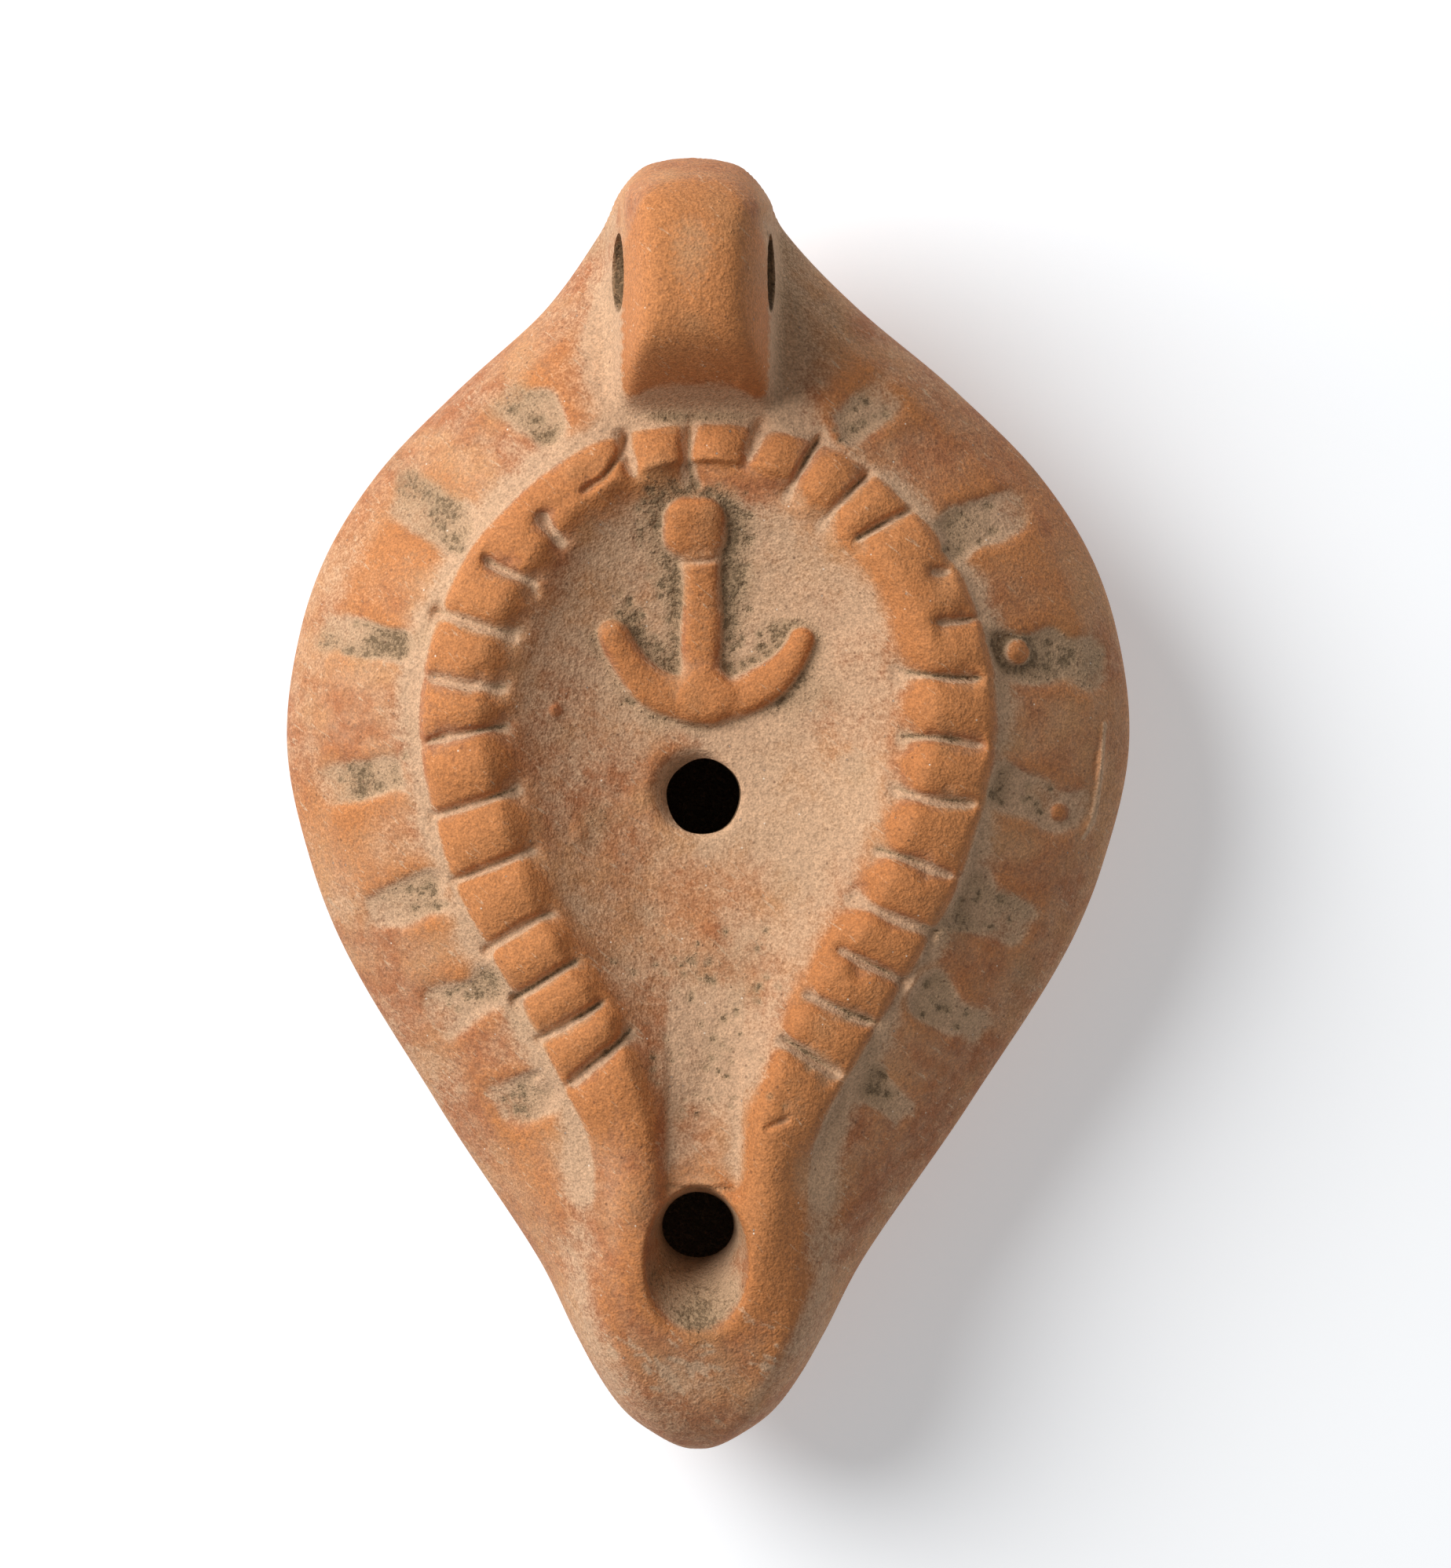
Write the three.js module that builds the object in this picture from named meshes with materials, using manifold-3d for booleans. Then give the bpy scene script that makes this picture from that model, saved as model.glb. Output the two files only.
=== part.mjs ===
// Terracotta oil lamp: one hollow piece pressed in a two-part mould, with a pierced handle at the
// back (+Y) and a nozzle at the front (-Y). It stands on its flat underside at z = 0. Millimetres.

import * as THREE from 'three';
import { LoftGeometry } from 'three/addons/geometries/LoftGeometry.js';
import { mergeVertices } from 'three/addons/utils/BufferGeometryUtils.js';
import Module from 'manifold-3d';

const wasm = await Module();
wasm.setup();

// Edges shorter than this are closed up
const FINEST_EDGE = 0.03;

// Outline from above at the mould seam, as [y, half width] from the nozzle tip to the handle's back
const OUTLINE = [
  [-50, 0], [-48.9, 3.2], [-47.1, 5.7], [-44, 8], [-41, 9.65], [-35, 12.7], [-22.7, 20.9],
  [-10.4, 28.4], [-4.3, 30.8], [4.8, 32.75], [14, 31.7], [20.1, 29.5], [26.2, 25.5], [32.3, 19.5],
  [38.7, 12.2], [44.5, 7.2], [47.6, 5.4], [49.1, 4], [50, 0],
];

// Heights along the length, as [y, height]
const SEAM = [[-50, 11.5], [-30, 13.4], [0, 14], [30, 14.5], [50, 16]];
const SHOULDER_TOP = [
  [-50, 11.5], [-48.6, 16], [-45.5, 19.7], [-41.5, 21.8], [-36, 22.7], [-25, 23.5], [-10, 24.5],
  [10, 25], [28, 24.8], [34, 23], [42, 19.5], [48, 17.3], [50, 16],
];
const KEEL = [
  [-50, 11.5], [-48.6, 7.5], [-44, 4], [-36, 1.2], [-28, 0], [-20, 0], [16, 0], [24, 0], [32, 2.6],
  [40, 7.5], [47, 11.5], [50, 16],
];
const SHOULDER_ROUNDING = 0.6;
const FLAT_SHARE = 0.68;
const SHOULDER_STEPS = [0, 0.04, 0.12, 0.28, 0.5, 0.75, 1];
const FLAT_BASE = [[-28, 0], [-20, 6.5], [-8, 13], [4, 16], [14, 14], [24, 0]];
const BOWL_STEPS = 6;
const BODY_STATIONS = 34;

// Sideways lean of the hand-finished piece, as [y, x]
const LEAN = [[-50, -0.7], [-30, -0.4], [-5, 0], [30, 0], [38, -0.3], [45, -1.1], [50, -1]];

// Notched ridge around the hollow top: its outer edge, its width and how far it stands up
const RIDGE_EDGE = [
  [-44.8, 0], [-43, 5.1], [-39.1, 6.9], [-32, 7.9], [-25.3, 8.6], [-17.5, 12.3], [-5.1, 19],
  [7.5, 21.6], [18.3, 18.6], [25.5, 12.2], [28.6, 6.3], [29.4, 0],
];
const RIDGE_WIDTH = [
  [-44.8, 6.5], [-38, 5.2], [-25, 5.2], [-17, 5.8], [0, 6.9], [10, 6.8], [20, 6], [29.4, 5.2],
];
const RIDGE_RISE = [[-44.8, 0.2], [-40, 0.8], [-34, 1.5], [-20, 1.9], [29.4, 1.9]];
const RIDGE_PROFILE = [
  [1, -2], [1, -0.1], [0.8, 0.6], [0.55, 0.97], [0.3, 1], [0.1, 0.72], [0, 0.2], [0, -2],
];
const RIDGE_STATIONS = 60;

// Pads between the notches, by length along the outer edge from the nozzle's right side to its left
const FIRST_NOTCH = 27.2;
const PAD_LENGTHS = [
  4.6, 3.8, 4.5, 5, 5.5, 4.7, 5, 4.4, 4.4, 5.2, 4.4, 4.5, 4.6, 5.5, 5.1, 4.2, 4.8, 5.2, 5.6, 4.8,
  5.3, 5.7, 5.3, 5.6, 4.1, 3.7, 4.4,
];
const NOTCH_WIDTH = 0.9;
const NOTCH_DEPTH = 1.3;
const NOTCH_OVERCUT = 0.6;

// Hollow top inside the ridge, and the channel from it to the wick hole
const BASIN_EDGE = [
  [-24, 0], [-22.5, 3.4], [-18, 7], [-11, 11.7], [-3.2, 15], [5.8, 17.2], [12.6, 16],
  [19.6, 12.7], [24, 8], [26.6, 0],
];
const BASIN_FLOOR = [[-24, 22.6], [-12, 21.4], [2, 21], [12, 21.4], [20, 22.9], [26.6, 26]];
const BASIN_RIM = 26.3;
const BASIN_STATIONS = 22;
const CHANNEL_HALF_WIDTH = 2.75;
const CHANNEL_FLOOR = 22;
const CHANNEL_BACK = -17;
const CHANNEL_FRONT = -31;
const OPEN_ABOVE = 30;

// Sunken bars on the shoulders, one side, as outer x, outer y, inner x, inner y
const BARS = [
  [15.4, 32.8, 10.8, 28.9], [24.8, 23.9, 18.2, 20.9], [30.1, 13, 22.6, 12.1], [29.5, 0, 22.4, 2.7],
  [25.7, -9.1, 19.5, -6.4], [21.5, -16.9, 16, -13.8], [16.4, -24, 12.1, -20.8],
];
const BAR_WIDTH = 3.8;
const BAR_DEPTH = 0.7;
const BAR_CORNER = 1.2;
const BAR_BEVEL = 0.4;

// Anchor in relief at the back of the hollow top
const ANCHOR_RISE = 1.1;
const ANCHOR_ROOT = 1;
const ANCHOR_BEVEL = 0.35;
const ANCHOR_HEAD = { x: -0.85, back: 24, front: 19, width: 4.6, corner: 1.3 };
const ANCHOR_SHANK = { x: -0.45, back: 19.4, front: 6.8, width: 3.3, corner: 1.2 };
const ANCHOR_ARMS = { x: 0.05, y: 14.9, radius: 7.5, width: 2.6, from: 1.07, to: 1.91 };

// Pellets of clay left in two of the right-hand bars, as x, y, radius
const PELLETS = [[24, 12, 1.05], [27.2, -0.2, 0.6]];

// Handle, as level sections: height, front y, back y, half width
const HANDLE = [
  [12, 30, 46, 6], [16, 30, 49.3, 6.8], [20, 30, 50, 6.7], [23, 30.4, 50, 6.2], [26, 31.6, 49.8, 5.7],
  [29, 32.9, 49.3, 5.3], [32, 34.3, 48.2, 5], [34.5, 35.6, 46.4, 4.7], [36, 36.6, 44.4, 4.1],
  [36.8, 38, 42.4, 2.8],
];
const HANDLE_X = -1.1;
const HANDLE_SQUARENESS = 4;
const HANDLE_POINTS = 24;
const HANDLE_HOLE = { y: 40.9, z: 26, radius: 2.95 };
const HANDLE_HOLE_REACH = 40;

// Oil chamber: thickness left at the sides, heights along the length, and the two holes into it
const CHAMBER_WALL = 4.8;
const CHAMBER_FRONT = -39.5;
const CHAMBER_BACK = 31;
const CHAMBER_FLOOR = [[-39.5, 9], [-32, 6.2], [-20, 4.5], [15, 4.5], [31, 7]];
const CHAMBER_ROOF = [[-39.5, 15], [-32, 16.3], [-18, 16.5], [15, 16.5], [31, 15]];
const CHAMBER_BLUNTNESS = 5;
const CHAMBER_STATIONS = 16;
const CHAMBER_POINTS = 20;
const FILL_HOLE = { x: -0.3, y: 0.9, radius: 3.1, lip: 3.5, lipDepth: 1.1, bottom: 10 };
const WICK_HOLE = [
  [10, -32.6, 2.95, 2.95], [18, -32.6, 2.95, 2.95], [20.5, -33.2, 3.2, 3.6], [22.3, -34.1, 3.7, 4.8],
  [26, -35, 4.2, 6.4],
];
const WICK_HOLE_X = -0.7;
const HOLE_POINTS = 24;

// A smooth curve through [position, value] stations, read at any position
function along(stations) {
  const positions = stations.map(([position]) => position);
  const values = stations.map(([, value]) => value);
  const spline = new THREE.CubicInterpolant(positions, values, 1);
  return (position) => spline.evaluate(position)[0];
}

// Half width at y of a blunt-ended outline given as [y, half width] from front to back
function outline(stations) {
  const front = stations[0][0];
  const back = stations.at(-1)[0];
  const turn = (y) => Math.acos(THREE.MathUtils.clamp(1 - 2 * (y - front) / (back - front), -1, 1));
  const half = along(stations.map(([y, width]) => [turn(y), width]));
  return (y) => half(turn(y));
}

// Positions from front to back that crowd together towards both ends
function stationsBetween(front, back, count) {
  const middle = (front + back) / 2;
  return Array.from({ length: count + 1 }, (_, i) => (
    middle - (back - front) / 2 * Math.cos(Math.PI * i / count)
  ));
}

const halfWidth = outline(OUTLINE);
const ridgeEdge = outline(RIDGE_EDGE);
const basinEdge = outline(BASIN_EDGE);
const seamHeight = along(SEAM);
const shoulderTop = along(SHOULDER_TOP);
const keelLine = along(KEEL);
const keelHeight = (y) => Math.max(0, keelLine(y));
const flatBase = outline(FLAT_BASE);
const lean = along(LEAN);
const ridgeWidth = along(RIDGE_WIDTH);
const ridgeRise = along(RIDGE_RISE);
const basinFloor = along(BASIN_FLOOR);
const chamberFloor = along(CHAMBER_FLOOR);
const chamberRoof = along(CHAMBER_ROOF);

// Turns a closed surface into a solid, dropping the faces that shrink to nothing at its tips
function toSolid(geometry) {
  geometry.deleteAttribute('normal');
  geometry.deleteAttribute('uv');
  const merged = mergeVertices(geometry, 1e-4);
  const corners = merged.index.array;
  const faces = [];
  for (let i = 0; i < corners.length; i += 3) {
    const [a, b, c] = corners.slice(i, i + 3);
    if (a !== b && b !== c && c !== a) faces.push(a, b, c);
  }
  return new wasm.Manifold(new wasm.Mesh({
    numProp: 3,
    vertProperties: new Float32Array(merged.attributes.position.array),
    triVerts: new Uint32Array(faces),
    tolerance: FINEST_EDGE,
  }));
}

function loft(sections, caps = true) {
  const skin = new LoftGeometry(sections, { capStart: caps, capEnd: caps });
  return toSolid(new THREE.BufferGeometry().copy(skin));
}

// Level oval ring, squarer as the power grows
function levelOval(x, y, z, halfX, halfY, power, count) {
  const bulge = (value) => Math.sign(value) * Math.abs(value) ** (2 / power);
  return Array.from({ length: count }, (_, i) => {
    const angle = 2 * Math.PI * i / count;
    return new THREE.Vector3(x + halfX * bulge(Math.cos(angle)), y + halfY * bulge(Math.sin(angle)), z);
  });
}

// Where the flat top of the body begins at y, measured from the middle
function flatHalfWidth(y) {
  return Math.min(ridgeEdge(y), FLAT_SHARE * halfWidth(y));
}

function shoulderHeight(x, y) {
  const half = halfWidth(y);
  const inward = THREE.MathUtils.clamp((half - Math.abs(x - lean(y))) / (half - flatHalfWidth(y)), 0, 1);
  return seamHeight(y) + (shoulderTop(y) - seamHeight(y)) * inward ** SHOULDER_ROUNDING;
}

// Cross-section of the body: over the shoulders from left to right, then back under the bowl
function bodySection(y) {
  const half = halfWidth(y);
  const middle = lean(y);
  const shoulder = SHOULDER_STEPS.map((step) => {
    const x = half - step * (half - flatHalfWidth(y));
    return [x, seamHeight(y) + (shoulderTop(y) - seamHeight(y)) * step ** SHOULDER_ROUNDING];
  });
  const left = shoulder.map(([x, z]) => new THREE.Vector3(middle - x, y, z));
  const right = shoulder.map(([x, z]) => new THREE.Vector3(middle + x, y, z)).reverse();
  const bowl = Array.from({ length: BOWL_STEPS }, (_, i) => {
    const angle = Math.PI / 2 * (i + 1) / BOWL_STEPS;
    const x = flatBase(y) + (half - flatBase(y)) * Math.cos(angle);
    return [x, seamHeight(y) - (seamHeight(y) - keelHeight(y)) * Math.sin(angle)];
  });
  const underRight = bowl.map(([x, z]) => new THREE.Vector3(middle + x, y, z));
  const underLeft = bowl.map(([x, z]) => new THREE.Vector3(middle - x, y, z)).reverse();
  return [...left, ...right, ...underRight, ...underLeft];
}

function makeBody() {
  const [tip, back] = [OUTLINE[0][0], OUTLINE.at(-1)[0]];
  return loft(stationsBetween(tip, back, BODY_STATIONS).map(bodySection), false);
}

function makeHandle() {
  return loft(HANDLE.map(([z, front, back, half]) => levelOval(
    HANDLE_X, (front + back) / 2, z, half, (back - front) / 2, HANDLE_SQUARENESS, HANDLE_POINTS,
  )));
}

// Outer edge of the ridge as a closed line, from the front along the right side to the back
function ridgeLine() {
  const stations = stationsBetween(RIDGE_EDGE[0][0], RIDGE_EDGE.at(-1)[0], RIDGE_STATIONS / 2);
  const right = stations.map((y) => new THREE.Vector3(lean(y) + ridgeEdge(y), y, 0));
  const left = stations.map((y) => new THREE.Vector3(lean(y) - ridgeEdge(y), y, 0)).slice(1, -1);
  return new THREE.CatmullRomCurve3([...right, ...left.reverse()], true);
}

const ridgeCurve = ridgeLine();

// Point and inward direction on the ridge's outer edge, at a share of the way round
function onRidge(share) {
  const tangent = ridgeCurve.getTangentAt(share);
  return { point: ridgeCurve.getPointAt(share), inward: new THREE.Vector3(-tangent.y, tangent.x, 0) };
}

function makeRidge() {
  const sections = [];
  for (let i = 0; i <= RIDGE_STATIONS; i += 1) {
    const { point, inward } = onRidge((i % RIDGE_STATIONS) / RIDGE_STATIONS);
    const rim = shoulderTop(point.y);
    sections.push(RIDGE_PROFILE.map(([across, rise]) => {
      const place = point.clone().addScaledVector(inward, across * ridgeWidth(point.y));
      return place.setZ(rim + rise * ridgeRise(point.y));
    }));
  }
  return loft(sections, false);
}

// V-shaped cutter across the ridge at each join between two pads
function makeNotches() {
  const profile = new THREE.Shape([
    new THREE.Vector2(-NOTCH_WIDTH / 2, NOTCH_OVERCUT),
    new THREE.Vector2(0, -NOTCH_DEPTH),
    new THREE.Vector2(NOTCH_WIDTH / 2, NOTCH_OVERCUT),
  ]);
  const notches = [];
  let distance = FIRST_NOTCH;
  for (const length of [0, ...PAD_LENGTHS]) {
    distance += length;
    const { point, inward } = onRidge(distance / ridgeCurve.getLength());
    const up = new THREE.Vector3(0, 0, 1);
    const sideways = new THREE.Vector3().crossVectors(up, inward);
    const crest = shoulderTop(point.y) + ridgeRise(point.y);
    const cutter = new THREE.ExtrudeGeometry(profile, {
      depth: ridgeWidth(point.y) + NOTCH_OVERCUT, bevelEnabled: false,
    });
    cutter.translate(0, 0, -NOTCH_OVERCUT);
    cutter.applyMatrix4(new THREE.Matrix4().makeBasis(sideways, up, inward));
    cutter.translate(point.x, point.y, crest);
    notches.push(toSolid(cutter));
  }
  return notches;
}

// Bowl that hollows the top inside the ridge
function basinHeight(x, y) {
  const across = Math.min(1, Math.abs(x - lean(y)) / Math.max(basinEdge(y), 0.01));
  return basinFloor(y) + (BASIN_RIM - basinFloor(y)) * across ** 2;
}

function makeBasin() {
  const steps = [-1, -0.8, -0.6, -0.4, -0.2, 0, 0.2, 0.4, 0.6, 0.8, 1];
  const [front, back] = [BASIN_EDGE[0][0], BASIN_EDGE.at(-1)[0]];
  return loft(stationsBetween(front, back, BASIN_STATIONS).map((y) => {
    const floor = steps.map((step) => {
      const x = lean(y) + step * basinEdge(y);
      return new THREE.Vector3(x, y, basinHeight(x, y));
    });
    const sky = [1, -1].map((side) => new THREE.Vector3(lean(y) + side * basinEdge(y), y, OPEN_ABOVE));
    return [...floor, ...sky].reverse();
  }), false);
}

function makeChannel() {
  const length = CHANNEL_BACK - CHANNEL_FRONT;
  const height = OPEN_ABOVE - CHANNEL_FLOOR;
  const channel = new THREE.BoxGeometry(2 * CHANNEL_HALF_WIDTH, length, height);
  const middle = (CHANNEL_BACK + CHANNEL_FRONT) / 2;
  return toSolid(channel.translate(lean(middle), middle, CHANNEL_FLOOR + height / 2));
}

function roundedBox(width, height, corner) {
  const [x, y] = [width / 2, height / 2];
  const shape = new THREE.Shape();
  shape.moveTo(-x + corner, -y);
  shape.lineTo(x - corner, -y);
  shape.absarc(x - corner, -y + corner, corner, -Math.PI / 2, 0);
  shape.absarc(x - corner, y - corner, corner, 0, Math.PI / 2);
  shape.absarc(-x + corner, y - corner, corner, Math.PI / 2, Math.PI);
  shape.absarc(-x + corner, -y + corner, corner, Math.PI, 1.5 * Math.PI);
  return shape;
}

// Bar cutter laid along the slope of the shoulder from its outer to its inner end
function makeBar(side, [outerX, outerY, innerX, innerY]) {
  const outer = new THREE.Vector3(side * outerX, outerY, shoulderHeight(side * outerX, outerY));
  const inner = new THREE.Vector3(side * innerX, innerY, shoulderHeight(side * innerX, innerY));
  const lengthwise = inner.clone().sub(outer);
  const cutter = new THREE.ExtrudeGeometry(roundedBox(lengthwise.length(), BAR_WIDTH, BAR_CORNER), {
    depth: BAR_WIDTH,
    bevelSize: BAR_BEVEL,
    bevelThickness: BAR_BEVEL,
    bevelOffset: -BAR_BEVEL,
    bevelSegments: 1,
    curveSegments: 2,
  });
  lengthwise.normalize();
  const across = new THREE.Vector3(0, 0, 1).cross(lengthwise).normalize();
  const outwards = new THREE.Vector3().crossVectors(lengthwise, across);
  cutter.translate(0, 0, BAR_BEVEL - BAR_DEPTH);
  cutter.applyMatrix4(new THREE.Matrix4().makeBasis(lengthwise, across, outwards));
  const middle = outer.clone().add(inner).divideScalar(2);
  return toSolid(cutter.translate(middle.x, middle.y, shoulderHeight(middle.x, middle.y)));
}

// Raised figure that follows the hollow of the top
function drape(shape) {
  const figure = new THREE.ExtrudeGeometry(shape, {
    depth: ANCHOR_RISE + ANCHOR_ROOT - 2 * ANCHOR_BEVEL,
    bevelSize: ANCHOR_BEVEL,
    bevelThickness: ANCHOR_BEVEL,
    bevelOffset: -ANCHOR_BEVEL,
    bevelSegments: 1,
  });
  const points = figure.attributes.position;
  for (let i = 0; i < points.count; i += 1) {
    const ground = basinHeight(points.getX(i), points.getY(i));
    points.setZ(i, ground + points.getZ(i) + ANCHOR_BEVEL - ANCHOR_ROOT);
  }
  return toSolid(figure);
}

function placed(shape, x, y) {
  return new THREE.Shape(shape.getPoints(2).map((point) => point.add(new THREE.Vector2(x, y))));
}

function makeAnchor() {
  const blocks = [ANCHOR_HEAD, ANCHOR_SHANK].map(({ x, back, front, width, corner }) => (
    drape(placed(roundedBox(width, back - front, corner), x, (back + front) / 2))
  ));
  const { x, y, radius, width, from, to } = ANCHOR_ARMS;
  const arms = new THREE.Shape();
  const tip = (turn) => [x + radius * Math.cos(turn * Math.PI), y + radius * Math.sin(turn * Math.PI)];
  arms.absarc(x, y, radius + width / 2, from * Math.PI, to * Math.PI);
  arms.absarc(...tip(to), width / 2, to * Math.PI, (to + 1) * Math.PI);
  arms.absarc(x, y, radius - width / 2, to * Math.PI, from * Math.PI, true);
  arms.absarc(...tip(from), width / 2, (from + 1) * Math.PI, (from + 2) * Math.PI);
  return [...blocks, drape(new THREE.Shape(arms.getPoints(4)))];
}

function makePellets() {
  return PELLETS.map(([x, y, radius]) => {
    const pellet = new THREE.SphereGeometry(radius, 10, 6);
    return toSolid(pellet.translate(x, y, shoulderHeight(x, y) - BAR_DEPTH / 2));
  });
}

function makeChamber() {
  return loft(stationsBetween(CHAMBER_FRONT, CHAMBER_BACK, CHAMBER_STATIONS).map((y) => {
    const share = (y - CHAMBER_FRONT) / (CHAMBER_BACK - CHAMBER_FRONT);
    const ends = Math.sqrt(1 - Math.abs(2 * share - 1) ** CHAMBER_BLUNTNESS);
    const half = (halfWidth(y) - CHAMBER_WALL) * ends;
    const middle = (chamberRoof(y) + chamberFloor(y)) / 2;
    const rise = (chamberRoof(y) - chamberFloor(y)) / 2 * ends;
    return Array.from({ length: CHAMBER_POINTS }, (_, i) => {
      const angle = 2 * Math.PI * i / CHAMBER_POINTS;
      return new THREE.Vector3(lean(y) - half * Math.cos(angle), y, middle + rise * Math.sin(angle));
    });
  }), false);
}

function makeFillHole() {
  const { x, y, radius, lip, lipDepth, bottom } = FILL_HOLE;
  const top = basinFloor(y);
  const profile = [
    [0, bottom], [radius, bottom], [radius, top - lipDepth], [lip, top], [lip, OPEN_ABOVE], [0, OPEN_ABOVE],
  ].map(([r, z]) => new THREE.Vector2(r, z));
  const hole = new THREE.LatheGeometry(profile, HOLE_POINTS).rotateX(Math.PI / 2);
  return toSolid(hole.translate(x, y, 0));
}

function makeWickHole() {
  return loft(WICK_HOLE.map(([z, y, halfX, halfY]) => (
    levelOval(WICK_HOLE_X, y, z, halfX, halfY, 2, HOLE_POINTS)
  )));
}

function makeHandleHole() {
  const { y, z, radius } = HANDLE_HOLE;
  const hole = new THREE.CylinderGeometry(radius, radius, HANDLE_HOLE_REACH, HOLE_POINTS);
  hole.rotateZ(Math.PI / 2);
  return toSolid(hole.translate(0, y, z));
}

function join(solids) {
  return solids.reduce((whole, solid) => whole.add(solid));
}

function cut(solid, cutters) {
  return cutters.reduce((rest, cutter) => rest.subtract(cutter), solid);
}

function makeLamp() {
  const bars = [1, -1].flatMap((side) => BARS.map((bar) => makeBar(side, bar)));
  const moulded = cut(join([makeBody(), makeRidge()]), [makeBasin(), ...makeNotches(), ...bars]);
  const dressed = join([moulded, makeHandle(), ...makePellets(), ...makeAnchor()]);
  return cut(dressed, [
    makeChannel(), makeWickHole(), makeFillHole(), makeHandleHole(), makeChamber(),
  ]);
}

function toMesh(solid, name, material) {
  const { vertProperties, triVerts } = solid.getMesh();
  const geometry = new THREE.BufferGeometry();
  geometry.setAttribute('position', new THREE.BufferAttribute(new Float32Array(vertProperties), 3));
  geometry.setIndex(new THREE.BufferAttribute(new Uint32Array(triVerts), 1));
  geometry.computeVertexNormals();
  const mesh = new THREE.Mesh(geometry, material);
  mesh.name = name;
  return mesh;
}

const terracotta = new THREE.MeshStandardMaterial({ color: 0xc07a4c, roughness: 0.9, metalness: 0 });
terracotta.name = 'terracotta';

const lamp = new THREE.Group();
lamp.name = 'oil_lamp';
lamp.add(toMesh(makeLamp(), 'lamp', terracotta));

export default lamp;
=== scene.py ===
import math

import bpy
import numpy as np
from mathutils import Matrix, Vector
from mathutils.geometry import delaunay_2d_cdt


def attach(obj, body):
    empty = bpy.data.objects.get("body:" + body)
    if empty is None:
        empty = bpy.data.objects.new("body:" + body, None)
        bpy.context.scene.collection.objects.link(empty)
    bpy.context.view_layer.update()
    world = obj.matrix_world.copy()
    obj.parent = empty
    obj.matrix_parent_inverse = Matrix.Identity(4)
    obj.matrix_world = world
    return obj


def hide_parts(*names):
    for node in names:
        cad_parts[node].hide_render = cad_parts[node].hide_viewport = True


# Terracotta oil lamp pressed in a two-part mould, with the dirt and wear of a long burial.
# Sizes are in millimetres, with the nozzle towards -Y and the handle towards +Y.
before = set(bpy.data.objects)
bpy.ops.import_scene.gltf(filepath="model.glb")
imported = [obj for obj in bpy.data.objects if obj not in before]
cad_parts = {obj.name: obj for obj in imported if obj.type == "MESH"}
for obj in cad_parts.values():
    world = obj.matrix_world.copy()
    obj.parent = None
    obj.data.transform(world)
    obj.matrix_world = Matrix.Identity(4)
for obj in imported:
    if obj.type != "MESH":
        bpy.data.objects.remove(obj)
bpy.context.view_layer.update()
MM = 0.001

# Outline from above at the mould seam, as y and half width from the nozzle tip to the handle's back
OUTLINE = [
    (-50, 0), (-48.9, 3.2), (-47.1, 5.7), (-44, 8), (-41, 9.65), (-35, 12.7), (-22.7, 20.9),
    (-10.4, 28.4), (-4.3, 30.8), (4.8, 32.75), (14, 31.7), (20.1, 29.5), (26.2, 25.5), (32.3, 19.5),
    (38.7, 12.2), (44.5, 7.2), (47.6, 5.4), (49.1, 4), (50, 0),
]

# Heights along the length, as y and height
SEAM = [(-50, 11.5), (-30, 13.4), (0, 14), (30, 14.5), (38, 15), (44, 17), (48, 20), (50, 21)]
SHOULDER_TOP = [
    (-50, 11.5), (-49.5, 15.4), (-48.6, 17.5), (-46.5, 19.5), (-44, 20.9), (-41.5, 21.8), (-36, 22.7),
    (-25, 23.5), (-10, 24.5), (10, 25), (28, 24.8), (34, 23), (42, 20.5), (48, 20.6), (50, 21),
]
KEEL = [
    (-50, 11.5), (-48.6, 7.5), (-44, 4), (-36, 1.2), (-28, 0), (-20, 0), (16, 0), (24, 0), (32, 2.6),
    (40, 7.5), (47, 12), (49.2, 16), (50, 21),
]
FLAT_BASE = [(-28, 0), (-20, 6.5), (-8, 13), (4, 16), (14, 14), (24, 0)]
SHOULDER_ROUNDING = 0.6

# Half width of the top between the sloping shoulders
TOP_EDGE = [
    (-50, 0), (-48.5, 1.8), (-46, 3.5), (-43, 5), (-39, 6.4), (-32, 7.9), (-25.3, 8.6), (-17.5, 12.3),
    (-5.1, 19), (7.5, 21.6), (18.3, 18.6), (25.5, 12.6), (30, 8.6), (36, 6), (42, 4.2), (47, 2.5), (50, 0),
]

# Sideways lean of the hand-finished piece, as y and x
LEAN = [(-50, -0.7), (-30, -0.4), (-5, 0), (30, 0), (38, -0.3), (45, -1.1), (50, -1)]

# Notched ridge around the hollow top: its outer edge, width, rise and section from outside inwards
RIDGE_EDGE = [
    (-44.8, 0), (-43, 5.1), (-39.1, 6.9), (-32, 7.9), (-25.3, 8.7), (-17.5, 12.6), (-5.1, 19.3),
    (7.5, 21.9), (18.3, 18.9), (25.5, 12.4), (28.6, 6.3), (29.4, 0),
]
RIDGE_WIDTH = [
    (-44.8, 6.5), (-38, 5.2), (-25, 5.2), (-17, 5.8), (0, 6.9), (10, 6.8), (20, 6), (29.4, 5.2),
]
RIDGE_RISE = [
    (-44.8, 0), (-42, 0.25), (-38, 0.8), (-33, 1.5), (-20, 2.0), (0, 2.2), (18, 2.1), (25, 1.4),
    (29.4, 1.1),
]
PAD_SECTION = [
    (-0.07, 0), (-0.03, 0.08), (0, 0.26), (0.04, 0.43), (0.1, 0.56), (0.2, 0.7), (0.34, 0.85),
    (0.48, 0.94), (0.62, 1), (0.78, 1), (0.92, 0.92), (1.05, 0.72), (1.25, 0.3), (1.45, 0),
]
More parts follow.
